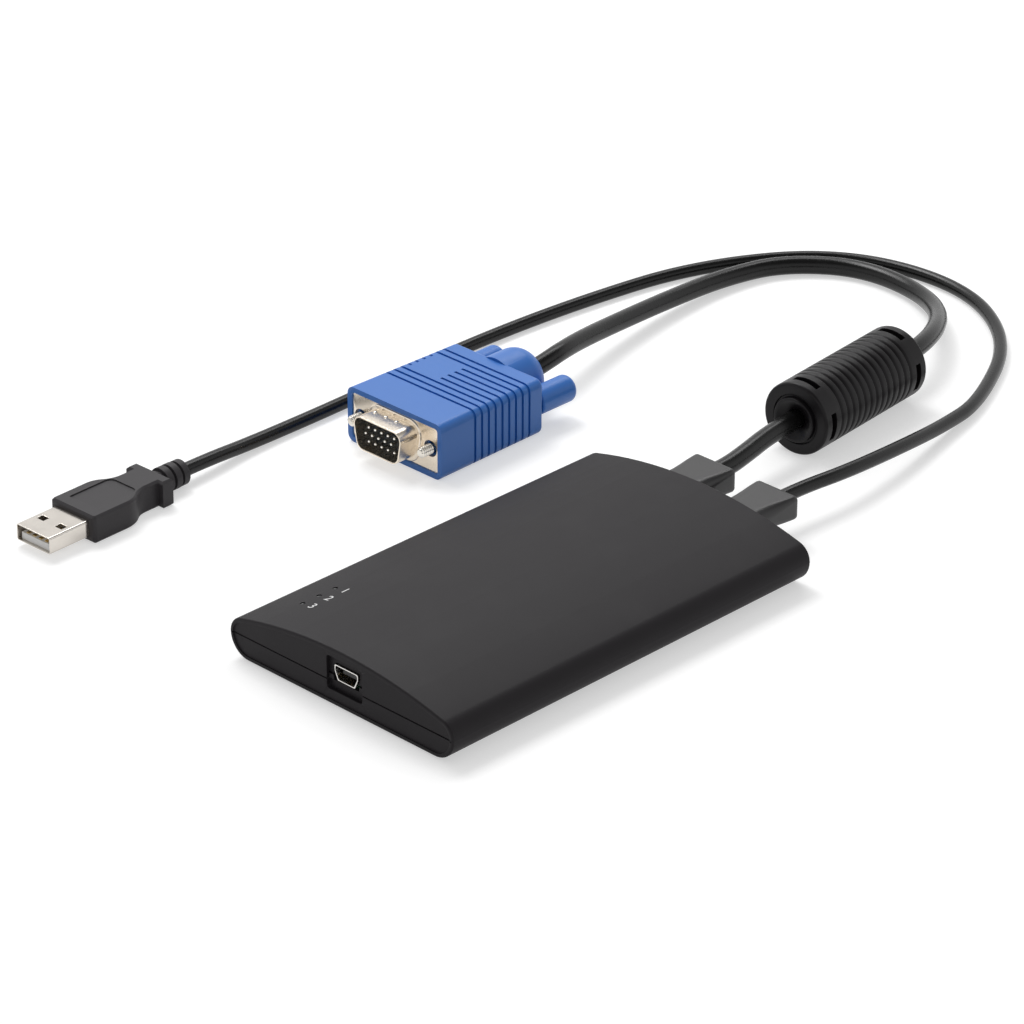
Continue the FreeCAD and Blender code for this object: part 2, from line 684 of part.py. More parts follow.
def filter_capacitors():
    cans = []
    half = CAPACITOR_BASE / 2
    for i in range(CAPACITOR_COUNT):
        x = CAPACITOR_FIRST_X + i * CAPACITOR_PITCH
        base = block(x - half, x + half, CAPACITOR_Y - half, CAPACITOR_Y + half,
                     BOARD_TOP, BOARD_TOP + CAPACITOR_BASE_HEIGHT)
        can = upright(CAPACITOR_DIAMETER, x, CAPACITOR_Y, BOARD_TOP, BOARD_TOP + CAPACITOR_HEIGHT)
        cans.append(base.fuse(can))
    return group(cans)


def board_header(x, width):
    """Board header with its cable plug pushed in from the rear."""
    front = HEADER_REAR_Y - HEADER_DEPTH
    base = block(x - width / 2, x + width / 2, front, HEADER_REAR_Y, BOARD_TOP, BOARD_TOP + HEADER_HEIGHT)
    inner = width / 2 - HEADER_NOSE_INSET
    nose = block(x - inner, x + inner, front - HEADER_NOSE_REACH, HEADER_REAR_Y,
                 BOARD_TOP, BOARD_TOP + HEADER_HEIGHT / 2)
    return base.fuse(nose)


def inner_lead(x, diameter):
    return level(diameter, x, BOOT_HEIGHT_ABOVE_GROUND, HEADER_REAR_Y, HALF_LENGTH - WALL - BOOT_FLANGE_DEPTH)


def status_leds():
    leds = []
    for x, y in light_places():
        leds.append(block(x - LED_LENGTH / 2, x + LED_LENGTH / 2, y - LED_WIDTH / 2, y + LED_WIDTH / 2,
                          BOARD_TOP, BOARD_TOP + LED_HEIGHT))
    return group(leds)


def light_pipes():
    """One clear moulding: a bar below the crown with a pin up into each hole."""
    outer_edge = abs(LIGHT_X) + LIGHT_BAR_WIDTH / 2
    bar_top = crown_inner_height(outer_edge) - LIGHT_BAR_CLEARANCE
    half = LIGHT_BAR_WIDTH / 2
    ends = [y for x, y in light_places()]
    moulding = block(LIGHT_X - half, LIGHT_X + half, min(ends) - half, max(ends) + half,
                     bar_top - LIGHT_BAR_HEIGHT, bar_top)
    pin_top = crown_outer_height(LIGHT_X - LIGHT_HOLE / 2) - LIGHT_PIN_RECESS
    pin = LIGHT_HOLE - 2 * LIGHT_PIN_CLEARANCE
    stem_bottom = BOARD_TOP + LED_HEIGHT + LED_GAP
    for x, y in light_places():
        moulding = moulding.fuse(upright(pin, x, y, bar_top - LIGHT_BAR_HEIGHT, pin_top))
        moulding = moulding.fuse(upright(LIGHT_STEM_DIAMETER, x, y, stem_bottom, bar_top))
    return moulding.removeSplitter()


# Mini USB socket

def mini_usb_shell():
    outer = push(port_loop(0.0, PORT_FACE_Y), PORT_LENGTH)
    inner = push(port_loop(-PORT_METAL, PORT_FACE_Y - 1), PORT_LENGTH + 1 - PORT_METAL)
    return outer.cut(inner)


def mini_usb_insert():
    """Plastic block at the back of the shell with the tongue that carries the contacts."""
    back_y = PORT_FACE_Y + PORT_LENGTH - PORT_METAL
    back = push(port_loop(-PORT_METAL, back_y - INSERT_BACK), INSERT_BACK)
    half = TONGUE_WIDTH / 2
    top = PORT_Z + TONGUE_DROP + TONGUE_THICKNESS / 2
    tongue = block(PORT_X - half, PORT_X + half, PORT_FACE_Y + TONGUE_SETBACK, back_y - TONGUE_ROOT,
                   top - TONGUE_THICKNESS, top)
    return back.fuse(tongue).removeSplitter()


def mini_usb_contacts():
    contacts = []
    under = PORT_Z + TONGUE_DROP - TONGUE_THICKNESS / 2
    half = PORT_CONTACT_WIDTH / 2
    start = PORT_FACE_Y + PORT_CONTACT_SETBACK
    end = PORT_FACE_Y + PORT_LENGTH - PORT_METAL - INSERT_BACK
    for i in range(PORT_CONTACT_COUNT):
        x = PORT_X + (i - (PORT_CONTACT_COUNT - 1) / 2) * PORT_CONTACT_PITCH
        contacts.append(block(x - half, x + half, start, end, under - PORT_CONTACT_THICKNESS, under))
    return group(contacts)


# Boots and leads

def cable_boot(x):
    """Moulded boot: tapered grip outside, neck through the wall and a flange inside."""
    z = BOOT_HEIGHT_ABOVE_GROUND
    root = rectangle_loop(BOOT_WIDTH, BOOT_THICKNESS, BOOT_ROOT_ROUND, x, HALF_LENGTH, z)
    tip = rectangle_loop(BOOT_WIDTH, BOOT_THICKNESS, BOOT_TIP_ROUND, x, BOOT_END_Y, z)
    grip = Part.makeLoft([root, tip], True, True)
    neck_start = HALF_LENGTH - WALL
    neck = rectangle_loop(BOOT_NECK_WIDTH, BOOT_NECK_THICKNESS, BOOT_NECK_ROUND, x, neck_start, z)
    flange = rectangle_loop(BOOT_FLANGE_WIDTH, BOOT_FLANGE_THICKNESS, BOOT_NECK_ROUND, x,
                            neck_start - BOOT_FLANGE_DEPTH, z)
    return grip.fuse([push(neck, WALL), push(flange, BOOT_FLANGE_DEPTH)])


def lead(name, route, diameter):
    """Round tube of straight runs joined by tangent arcs."""
    points = [Vector(*p) for p in route]
    edges = []
    radii = []
    start = points[0]
    for i in range(1, len(points) - 1):
        before, corner, after = points[i - 1], points[i], points[i + 1]
        shorter = min(before.distanceToPoint(corner), corner.distanceToPoint(after))
        turn = math.pi - (before - corner).getAngle(after - corner)
        radius = ARC_SHARE * shorter / math.tan(turn / 2)
        radii.append(round(radius, 1))
        arc_start, middle, arc_end = corner_arc(before, corner, after, radius)
        edges.append(Part.LineSegment(start, arc_start).toShape())
        edges.append(Part.Arc(arc_start, middle, arc_end).toShape())
        start = arc_end
    edges.append(Part.LineSegment(start, points[-1]).toShape())
    path = Part.Wire(edges)
    heading = points[1] - points[0]
    section = Part.Wire(Part.makeCircle(diameter / 2, points[0], heading))
    tube = path.makePipeShell([section], True, False)
    ideal = math.pi * diameter ** 2 / 4 * path.Length
    print(name, "length", round(path.Length, 1), "radii", radii, "volume share", round(tube.Volume / ideal, 5))
    return tube


# Ferrite choke

def choke_core():
    start = (CHOKE_LENGTH - CORE_LENGTH) / 2
    bore = VGA_CABLE_DIAMETER + 2 * CHOKE_BORE_CLEARANCE
    core = level(CORE_DIAMETER, 0, 0, start, start + CORE_LENGTH)
    return core.cut(level(bore, 0, 0, start - 1, start + CORE_LENGTH + 1))


def choke_end(y, inward):
    """Profile points of one end face, from the bore out to the rim."""
    bore = VGA_CABLE_DIAMETER / 2 + CHOKE_BORE_CLEARANCE
    face = y - inward * CHOKE_COLLAR_HEIGHT
    return [(bore, y + inward * CHOKE_DISH_DEPTH), (CHOKE_COLLAR_INNER / 2, face),
            (CHOKE_COLLAR_DIAMETER / 2, face), (CHOKE_COLLAR_DIAMETER / 2, y + inward * CHOKE_MOAT_DEPTH),
            (CHOKE_MOAT_DIAMETER / 2, y + inward * CHOKE_MOAT_DEPTH), (CHOKE_MOAT_DIAMETER / 2, y),
            (CHOKE_DIAMETER / 2 - CHOKE_EDGE, y), (CHOKE_DIAMETER / 2, y + inward * CHOKE_EDGE)]


def choke_slots(y0):
    """Short slots round the sleeve that the mould's core pins leave."""
    outer = CHOKE_DIAMETER / 2 + 1
    floor = CHOKE_DIAMETER / 2 - CHOKE_SLOT_DEPTH
    y1 = y0 + CHOKE_SLOT_WIDTH
    loop = Part.makePolygon([Vector(floor, y0, 0), Vector(outer, y0, 0), Vector(outer, y1, 0),
                             Vector(floor, y1, 0), Vector(floor, y0, 0)])
    slots = []
    for i in range(CHOKE_SLOT_COUNT):
        slot = Part.Face(loop).revolve(Vector(0, 0, 0), Vector(0, 1, 0), -CHOKE_SLOT_SPAN)
        slot.rotate(Vector(0, 0, 0), Vector(0, 1, 0), -(CHOKE_SLOT_TURN + i * 360.0 / CHOKE_SLOT_COUNT))
        slots.append(slot)
    return slots


def choke_sleeve():
    radius = CHOKE_DIAMETER / 2
    near = choke_end(0.0, 1)
    far = choke_end(CHOKE_LENGTH, -1)
    rings = []
    first = (CHOKE_LENGTH - (CHOKE_RING_COUNT - 1) * CHOKE_RING_PITCH) / 2
    for i in range(CHOKE_RING_COUNT):
        middle = first + i * CHOKE_RING_PITCH
        rings += [(radius, middle - CHOKE_RING_WIDTH / 2), (radius - CHOKE_RING_DEPTH, middle),
                  (radius, middle + CHOKE_RING_WIDTH / 2)]
    sleeve = turned(near + rings + list(reversed(far)))
    start = (CHOKE_LENGTH - CORE_LENGTH) / 2
    sleeve = sleeve.cut(level(CORE_DIAMETER, 0, 0, start, start + CORE_LENGTH))
    for slot in choke_slots(CHOKE_SLOT_INSET) + choke_slots(CHOKE_LENGTH - CHOKE_SLOT_INSET - CHOKE_SLOT_WIDTH):
        sleeve = sleeve.cut(slot)
    return sleeve


# VGA plug, in its own frame: the middle of the hood's front face, with +Y to the cable

def hood_form(inset):
    """Grip part of the hood, a little narrower at its rear, moved inwards by inset."""
    height = HOOD_HEIGHT - 2 * inset
    corner = HOOD_ROUND - inset
    front = rectangle_loop(HOOD_WIDTH - 2 * inset, height, corner, 0, 0, 0)
    rear = rectangle_loop(HOOD_REAR_WIDTH - 2 * inset, height, corner, 0, HOOD_LENGTH, 0)
    return Part.makeLoft([front, rear], True, True)


def hood_groove(index):
    """Shallow ring cut round the hood, left out below the smooth pad on top."""
    y = HOOD_GROOVE_FIRST + index * HOOD_GROOVE_PITCH
    outer = block(-HOOD_WIDTH, HOOD_WIDTH, y, y + HOOD_GROOVE_WIDTH, -HOOD_HEIGHT, HOOD_HEIGHT)
    ring = outer.cut(hood_form(HOOD_GROOVE_DEPTH))
    if PAD_FIRST_GROOVE <= index <= PAD_LAST_GROOVE:
        ring = ring.cut(block(PAD_LEFT, PAD_RIGHT, y - 1, y + HOOD_GROOVE_WIDTH + 1, 0, HOOD_HEIGHT))
    return ring


def vga_hood():
    shell = hood_form(0.0)
    rear = [e for e in shell.Edges if e.BoundBox.YMin > HOOD_LENGTH - 1e-6]
    shell = shell.makeFillet(HOOD_REAR_ROUND, rear)
    neck = level(HOOD_NECK_DIAMETER, 0, HOOD_NECK_RISE, HOOD_LENGTH - 1, HOOD_LENGTH + HOOD_NECK_LENGTH)
    tail = [e for e in neck.Edges if e.BoundBox.YMin > HOOD_LENGTH + HOOD_NECK_LENGTH - 1e-6]
    shell = shell.fuse(neck.makeFillet(HOOD_NECK_ROUND, tail))
    for i in range(HOOD_GROOVE_COUNT):
        shell = shell.cut(hood_groove(i))
    mouth_depth = FLANGE_RECESS + 2 * FLANGE_METAL
    mouth = push(rectangle_loop(FLANGE_WIDTH, FLANGE_HEIGHT, FLANGE_CORNER, 0, -1, 0), mouth_depth + 1)
    growth = REAR_SHELL_GROWTH + CAVITY_CLEARANCE
    cavity = push(d_loop(growth, mouth_depth - 1), REAR_SHELL_DEPTH + 1 + CAVITY_CLEARANCE)
    shell = shell.cut([mouth, cavity])
    bearing = JACK_SHANK_DIAMETER + 2 * JACK_BEARING_CLEARANCE
    for side in (-1, 1):
        x = side * JACK_SPACING / 2
        shell = shell.cut(level(JACK_WAY_DIAMETER, x, 0, -1, HOOD_LENGTH - JACK_BEARING_LENGTH))
        shell = shell.cut(level(bearing, x, 0, 0, HOOD_LENGTH + 1))
    return shell


def d_loop(growth, y):
    """D outline, wide side up, grown outwards by growth."""
    slope = math.tan(math.radians(SHELL_SLOPE))
    half_h = SHELL_HEIGHT / 2 + growth
    top = SHELL_WIDTH / 2 + growth
    bottom = top - 2 * half_h * slope
    corners = [Vector(-bottom, y, -half_h), Vector(bottom, y, -half_h),
               Vector(top, y, half_h), Vector(-top, y, half_h)]
    return rounded_loop(corners, SHELL_CORNER + growth)


def flange_plate(y):
    plate = push(rectangle_loop(FLANGE_WIDTH, FLANGE_HEIGHT, FLANGE_CORNER, 0, y, 0), FLANGE_METAL)
    for side in (-1, 1):
        plate = plate.cut(level(FLANGE_HOLE, side * JACK_SPACING / 2, 0, y - 1, y + FLANGE_METAL + 1))
    return plate


def vga_front_shell():
    """Pressed steel front shell: flange, drawn bead and D-shaped skirt."""
    face = FLANGE_RECESS
    plate = flange_plate(face)
    bead = push(d_loop(SHELL_BEAD_OFFSET, face - SHELL_BEAD_HEIGHT), SHELL_BEAD_HEIGHT)
    rim = [e for e in bead.Edges if e.BoundBox.YMax < face - SHELL_BEAD_HEIGHT + 1e-6]
    bead = bead.makeChamfer(SHELL_BEAD_HEIGHT / 2, rim)
    skirt = push(d_loop(0.0, face - SHELL_REACH), SHELL_REACH)
    shell = plate.fuse([bead, skirt])
    return shell.cut(push(d_loop(-SHELL_METAL, face - SHELL_REACH - 1), SHELL_REACH + FLANGE_METAL + 2))


def vga_rear_shell():
    y = FLANGE_RECESS + FLANGE_METAL
    can = push(d_loop(REAR_SHELL_GROWTH, y), FLANGE_METAL + REAR_SHELL_DEPTH)
    inside = push(d_loop(REAR_SHELL_GROWTH - SHELL_METAL, y - 1), REAR_SHELL_DEPTH + 3 * FLANGE_METAL + 1)
    return flange_plate(y).fuse(can).cut(inside)


def pin_places():
    """Three rows of five, the middle row set half a pitch to the left."""
    places = []
    for row in range(PIN_ROWS):
        z = (row - (PIN_ROWS - 1) / 2) * PIN_ROW_PITCH
        shift = -PIN_PITCH / 4 if row == 1 else PIN_PITCH / 4
        for column in range(PIN_COLUMNS):
            places.append((shift + (column - (PIN_COLUMNS - 1) / 2) * PIN_PITCH, z))
    return places


def vga_insulator():
    """Insulator: front block inside the skirt and a wider block in the rear shell."""
    front_y = FLANGE_RECESS - SHELL_REACH + INSULATOR_RECESS
    middle_y = FLANGE_RECESS + FLANGE_METAL
    back_y = middle_y + FLANGE_METAL + REAR_SHELL_DEPTH
    front = push(d_loop(-SHELL_METAL - INSULATOR_CLEARANCE, front_y), middle_y - front_y)
    growth = REAR_SHELL_GROWTH - SHELL_METAL - INSULATOR_CLEARANCE
    back = push(d_loop(growth, middle_y), back_y - middle_y)
    body = front.fuse(back)
    pins = [level(PIN_DIAMETER, x, z, front_y - 1, front_y + PIN_SOCKET_DEPTH) for x, z in pin_places()]
    return body.cut(pins)


def vga_pins():
    front_y = FLANGE_RECESS - SHELL_REACH + INSULATOR_RECESS
    pins = []
    for x, z in pin_places():
        pin = level(PIN_DIAMETER, x, z, front_y - PIN_REACH, front_y + PIN_SOCKET_DEPTH)
        tip = [e for e in pin.Edges if e.BoundBox.YMax < front_y - PIN_REACH + 1e-6]
        pins.append(pin.makeChamfer(PIN_TIP_CHAMFER, tip))
    return group(pins)


def jackscrew():
    """Steel screw: threaded nose, thinner shank and a collar that keeps it in the hood."""
    nose = -JACK_REACH
    thread_end = FLANGE_RECESS
    tail = HOOD_LENGTH + KNOB_GAP + KNOB_BORE_DEPTH
    thread = JACK_DIAMETER / 2
    shank = JACK_SHANK_DIAMETER / 2
    collar = JACK_COLLAR_DIAMETER / 2
    collar_end = HOOD_LENGTH - JACK_BEARING_LENGTH - JACK_COLLAR_GAP
    collar_start = collar_end - JACK_COLLAR_LENGTH
    profile = [(0, nose), (thread - JACK_TIP_CHAMFER, nose), (thread, nose + JACK_TIP_CHAMFER),
               (thread, thread_end), (shank, thread_end + JACK_STEP), (shank, collar_start),
               (collar, collar_start), (collar, collar_end), (shank, collar_end), (shank, tail), (0, tail)]
    return turned(profile)


def thumb_knob():
    start = HOOD_LENGTH + KNOB_GAP
    knob = level(KNOB_DIAMETER, 0, 0, start, start + KNOB_LENGTH)
    tail = [e for e in knob.Edges if e.BoundBox.YMin > start + KNOB_LENGTH - 1e-6]
    knob = knob.makeFillet(KNOB_TAIL_ROUND, tail)
    nose = [e for e in knob.Edges if e.BoundBox.YMax < start + 1e-6]
    knob = knob.makeChamfer(KNOB_NOSE_CHAMFER, nose)
    return knob.cut(level(JACK_SHANK_DIAMETER, 0, 0, start - 1, start + KNOB_BORE_DEPTH))


# USB-A plug, in its own frame: the middle of the shell's mouth, with +Y to the cable

def usb_plug_shell():
    length = USB_SHELL_REACH + USB_SHELL_SEAT
    outer = push(rectangle_loop(USB_SHELL_WIDTH, USB_SHELL_HEIGHT, USB_SHELL_ROUND, 0, 0, 0), length)
    width = USB_SHELL_WIDTH - 2 * USB_SHELL_METAL
    height = USB_SHELL_HEIGHT - 2 * USB_SHELL_METAL
    inner = push(rectangle_loop(width, height, USB_SHELL_ROUND - USB_SHELL_METAL, 0, -1, 0), length + 2)
    shell = outer.cut(inner)
    for side in (-1, 1):
        middle = side * USB_WINDOW_X
        shell = shell.cut(block(middle - USB_WINDOW_WIDTH / 2, middle + USB_WINDOW_WIDTH / 2, USB_WINDOW_Y,
                                USB_WINDOW_Y + USB_WINDOW_LENGTH, -USB_SHELL_HEIGHT, USB_SHELL_HEIGHT))
    return shell


def usb_plug_tongue():
    """Plastic carrier: a thin tongue in the lower half and a full block at the back."""
    half = USB_SHELL_WIDTH / 2 - USB_SHELL_METAL
    floor = -USB_SHELL_HEIGHT / 2 + USB_SHELL_METAL
    end = USB_SHELL_REACH + USB_SHELL_SEAT
    tongue = block(-half + USB_SHELL_ROUND, half - USB_SHELL_ROUND, USB_TONGUE_RECESS, end,
                   floor, floor + USB_TONGUE_THICKNESS)
    back = rectangle_loop(2 * half, -2 * floor, USB_SHELL_ROUND - USB_SHELL_METAL, 0, end - USB_BACK_LENGTH, 0)
    return tongue.fuse(push(back, USB_BACK_LENGTH)).removeSplitter()


def usb_plug_contacts():
    contacts = []
    top = -USB_SHELL_HEIGHT / 2 + USB_SHELL_METAL + USB_TONGUE_THICKNESS
    half = USB_CONTACT_WIDTH / 2
    for i in range(USB_CONTACT_COUNT):
        x = (i - (USB_CONTACT_COUNT - 1) / 2) * USB_CONTACT_PITCH
        contacts.append(block(x - half, x + half, USB_CONTACT_START, USB_CONTACT_START + USB_CONTACT_LENGTH,
                              top, top + USB_CONTACT_THICKNESS))
    return group(contacts)


def usb_side(side):
    """Edges of one side of the plug body seen from above, from the front corner to the shoulder."""
    wide = USB_BODY_WIDTH / 2
    narrow = USB_WAIST_WIDTH / 2
    across = wide - narrow
    along = USB_WAIST_START - USB_BLOCK_END
    radius = (across ** 2 + along ** 2) / (4 * across)
    sweep = math.asin(along / 2 / radius)
    middle_y = (USB_BLOCK_END + USB_WAIST_START) / 2
    dip_x = radius * (1 - math.cos(sweep / 2))
    dip_y = radius * math.sin(sweep / 2)

    def at(x, y):
        return Vector(side * x, y, -USB_BODY_THICKNESS / 2)

    shoulder = USB_SHOULDER_WIDTH / 2
    middle = at((wide + narrow) / 2, middle_y)
    block_end = at(wide, USB_BLOCK_END)
    waist = at(narrow, USB_WAIST_START)
    return [
        Part.LineSegment(at(wide, USB_SHELL_REACH), block_end).toShape(),
        Part.Arc(block_end, at(wide - dip_x, USB_BLOCK_END + dip_y), middle).toShape(),
        Part.Arc(middle, at(narrow + dip_x, USB_WAIST_START - dip_y), waist).toShape(),
        Part.LineSegment(waist, at(narrow, USB_SHOULDER_START)).toShape(),
        Part.LineSegment(at(narrow, USB_SHOULDER_START), at(shoulder, USB_SHOULDER_START)).toShape(),
        Part.LineSegment(at(shoulder, USB_SHOULDER_START), at(shoulder, USB_SHOULDER_END)).toShape(),
    ]


def usb_grip_panel():
    """Shallow sunk panel in the grip's top, with round rear corners."""
    top = USB_BODY_THICKNESS / 2
    half = USB_PANEL_WIDTH / 2
    panel = block(-half, half, USB_PANEL_START, USB_PANEL_END, top - USB_PANEL_DEPTH, top + 1)
    corners = [e for e in panel.Edges
               if e.BoundBox.ZLength > USB_PANEL_DEPTH and e.BoundBox.YMin > USB_PANEL_END - 1e-6]
    return panel.makeFillet(USB_PANEL_ROUND, corners)


def usb_plug_body():
    half = USB_BODY_WIDTH / 2
    shoulder = USB_SHOULDER_WIDTH / 2
    low = -USB_BODY_THICKNESS / 2
    front = Part.LineSegment(Vector(-half, USB_SHELL_REACH, low), Vector(half, USB_SHELL_REACH, low)).toShape()
    rear_right = Vector(shoulder, USB_SHOULDER_END, low)
    rear = Part.LineSegment(rear_right, Vector(-shoulder, USB_SHOULDER_END, low)).toShape()
    outline = Part.Wire([front] + usb_side(1) + [rear] + list(reversed(usb_side(-1))))
    body = Part.Face(outline).extrude(Vector(0, 0, USB_BODY_THICKNESS))
    posts = [e for e in body.Edges
             if e.BoundBox.YMax < USB_SHELL_REACH + 1e-6 and e.BoundBox.ZLength > USB_BODY_EDGE]
    body = body.makeFillet(USB_FRONT_ROUND, posts)
    soft = [e for e in body.Edges if abs(e.BoundBox.ZLength) < 1e-6 and abs(abs(e.BoundBox.ZMin) + low) < 1e-6]
    body = body.makeChamfer(USB_BODY_EDGE, soft)
    relief = [(0, USB_SHOULDER_END - 1), (USB_RELIEF_ROOT, USB_SHOULDER_END - 1),
              (USB_RELIEF_ROOT, USB_SHOULDER_END)]
    for start, end, radius in USB_RELIEF_RINGS:
        relief += [(USB_RELIEF_CORE, start), (radius, start), (radius, end), (USB_RELIEF_CORE, end)]
    relief += [(0, USB_RELIEF_END)]
    body = body.fuse(turned(relief))
    seat = rectangle_loop(USB_SHELL_WIDTH, USB_SHELL_HEIGHT, USB_SHELL_ROUND, 0, USB_SHELL_REACH - 1, 0)
    body = body.cut(push(seat, USB_SHELL_SEAT + 1))
    return body.cut(usb_grip_panel())


def main():
    os.makedirs("parts", exist_ok=True)
    body = box_body()
    hollow = box_hollow()
    save("bottom_cover", bottom_cover(body, hollow))
    save("top_cover", top_cover(body, hollow))
    save("case_screws", case_screws())
    save("rubber_feet", rubber_feet())

    save("circuit_board", circuit_board())
    save("main_processor", chip(PROCESSOR, PROCESSOR_LEAD_COUNT, PROCESSOR_LEAD_COUNT))
    save("video_converter_chip", chip(CONVERTER, CONVERTER_LEAD_COUNT, CONVERTER_LEAD_COUNT))
    save("memory_chip", chip(MEMORY, MEMORY_LEAD_COUNT, 0))
    save("clock_crystal", clock_crystal())
    save("power_inductor", power_inductor())
    save("filter_capacitors", filter_capacitors())
    save("vga_board_header", board_header(VGA_BOOT_X, VGA_HEADER_WIDTH))
    save("usb_board_header", board_header(USB_BOOT_X, USB_HEADER_WIDTH))
    save("vga_inner_lead", inner_lead(VGA_BOOT_X, VGA_INNER_DIAMETER))
    save("usb_inner_lead", inner_lead(USB_BOOT_X, USB_INNER_DIAMETER))
    save("status_leds", status_leds())
    save("light_pipes", light_pipes())

    save("mini_usb_shell", mini_usb_shell())
    save("mini_usb_insert", mini_usb_insert())
    save("mini_usb_contacts", mini_usb_contacts())

    save("vga_cable_boot", cable_boot(VGA_BOOT_X))
    save("usb_cable_boot", cable_boot(USB_BOOT_X))
    save("vga_cable", lead("vga_cable", VGA_ROUTE, VGA_CABLE_DIAMETER))
    save("usb_cable", lead("usb_cable", USB_ROUTE, USB_CABLE_DIAMETER))
    save("ferrite_core", placed(choke_core(), CHOKE_X, CHOKE_Y, CHOKE_Z, CHOKE_YAW))
    save("ferrite_sleeve", placed(choke_sleeve(), CHOKE_X, CHOKE_Y, CHOKE_Z, CHOKE_YAW))

    vga_pieces = {"vga_hood": vga_hood(), "vga_front_shell": vga_front_shell(),
                  "vga_rear_shell": vga_rear_shell(), "vga_insulator": vga_insulator(),
                  "vga_pins": vga_pins()}
    for name, shape in vga_pieces.items():
        save(name, placed(shape, VGA_X, VGA_Y, VGA_Z))
    for side, word in ((-1, "left"), (1, "right")):
        x = VGA_X + side * JACK_SPACING / 2
        save("vga_jackscrew_" + word, placed(jackscrew(), x, VGA_Y, VGA_Z))
        save("vga_knob_" + word, placed(thumb_knob(), x, VGA_Y, VGA_Z))

    usb_pieces = {"usb_plug_shell": usb_plug_shell(), "usb_plug_tongue": usb_plug_tongue(),
                  "usb_plug_contacts": usb_plug_contacts(), "usb_plug_body": usb_plug_body()}
    for name, shape in usb_pieces.items():
        save(name, placed(shape, USB_MOUTH_X, USB_MOUTH_Y, USB_Z, USB_YAW))


main()
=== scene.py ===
"""Looks of the crash cart adapter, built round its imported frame: box, leads, choke and both plugs."""
import bmesh
import bpy
import math
from mathutils import Euler, Matrix, Vector


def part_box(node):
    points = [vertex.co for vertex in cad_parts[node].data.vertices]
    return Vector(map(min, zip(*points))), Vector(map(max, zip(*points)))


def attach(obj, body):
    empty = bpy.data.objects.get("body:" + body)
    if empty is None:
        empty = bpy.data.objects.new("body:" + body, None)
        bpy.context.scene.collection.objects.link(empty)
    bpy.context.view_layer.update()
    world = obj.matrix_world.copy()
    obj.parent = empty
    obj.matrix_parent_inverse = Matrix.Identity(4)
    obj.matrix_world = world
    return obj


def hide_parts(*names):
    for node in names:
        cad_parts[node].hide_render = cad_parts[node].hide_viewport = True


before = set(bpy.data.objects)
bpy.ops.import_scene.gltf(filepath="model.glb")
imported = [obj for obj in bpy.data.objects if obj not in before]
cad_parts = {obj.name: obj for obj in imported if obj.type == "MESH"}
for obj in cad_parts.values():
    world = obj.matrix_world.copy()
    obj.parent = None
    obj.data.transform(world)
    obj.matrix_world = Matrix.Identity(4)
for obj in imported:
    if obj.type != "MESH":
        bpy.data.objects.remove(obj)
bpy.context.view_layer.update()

MM = 0.001
MERGE_DISTANCE = 0.000001

# Box
HALF_WIDTH = 36.8
HALF_LENGTH = 60.0
CROWN_HEIGHT = 15.2
BASE_STANDOFF = 0.5
SEAM_HEIGHT = 6.5
SEAM_GROOVE_HEIGHT = 0.3
SEAM_GROOVE_DEPTH = 0.5
SIDE_ROUND = 4.5
BOTTOM_ROUND = SEAM_HEIGHT - BASE_STANDOFF
ROUND_CENTRE_X = HALF_WIDTH - SIDE_ROUND
SEAM_TO_CROWN = CROWN_HEIGHT - SEAM_HEIGHT
CROWN_RADIUS = ((ROUND_CENTRE_X ** 2 + SEAM_TO_CROWN ** 2 - SIDE_ROUND ** 2)
                / (2 * (SEAM_TO_CROWN - SIDE_ROUND)))
CROWN_CENTRE = CROWN_HEIGHT - CROWN_RADIUS

# Ends of the box: a panel set back behind a narrow rim, with the seam across the panel alone
RIM_WIDTH = 1.1
PANEL_SETBACK = 0.35
SEAM_SLOT_DEPTH = 0.9
CLOSED_SEAM = 0.001
POCKET_FLOOR_Y = -59.05
POCKET_DEEPER = 0.5
ARC_STEPS = 14

# Light holes and the figures printed beside them
LIGHT_X = -26.0
LIGHT_REACH = 1.0
LIGHT_Y_FIRST = -36.4
LIGHT_PITCH = 5.2
DIGIT_X = -23.4
DIGIT_HEIGHT = 2.5
DIGIT_BODY = 0.02
CAPITAL_SHARE = 0.7

# Mesh work: what counts as one place, the shortest edge, a flat fold in degrees, the cells of a wide flat
NEAR = 0.01
SHORTEST_EDGE = 0.02
FLAT_FOLD = 0.2
CELL_SIZE = 9.3
CELL_OFFSET = 0.37

# Inside the box: a chip's leads and its dot, and the dark parts of the capacitor cans
CHIP_LEAD = 1.15
CHIP_DOT_INSET = 1.4
CHIP_DOT_RADIUS = 0.45
CAN_BASE_TOP = 7.7
CAN_STRIPE_Y = -40.1

# Boots: height of their middle and the sections of one, as Y, width, height and corner radius
LEAD_Z = 8.5
BOOT_SECTIONS = [
    (56.2, 15.4, 7.0, 1.2), (58.2, 15.4, 7.0, 1.2),
    (58.2, 11.0, 4.8, 1.2), (60.0, 11.0, 4.8, 1.2),
    (60.0, 13.4, 6.4, 3.1), (62.0, 13.3, 6.4, 3.1), (64.4, 13.1, 6.4, 3.0), (67.0, 13.0, 6.4, 2.7),
    (69.6, 13.1, 6.4, 2.2), (72.0, 13.3, 6.4, 1.7), (74.4, 13.4, 6.4, 1.3), (75.2, 13.4, 6.4, 1.2),
    (75.7, 13.2, 6.2, 1.1), (75.93, 12.9, 5.9, 1.0), (76.0, 12.5, 5.5, 0.8),
]
BOOTS = {"vga_cable_boot": -8.6, "usb_cable_boot": 11.9}

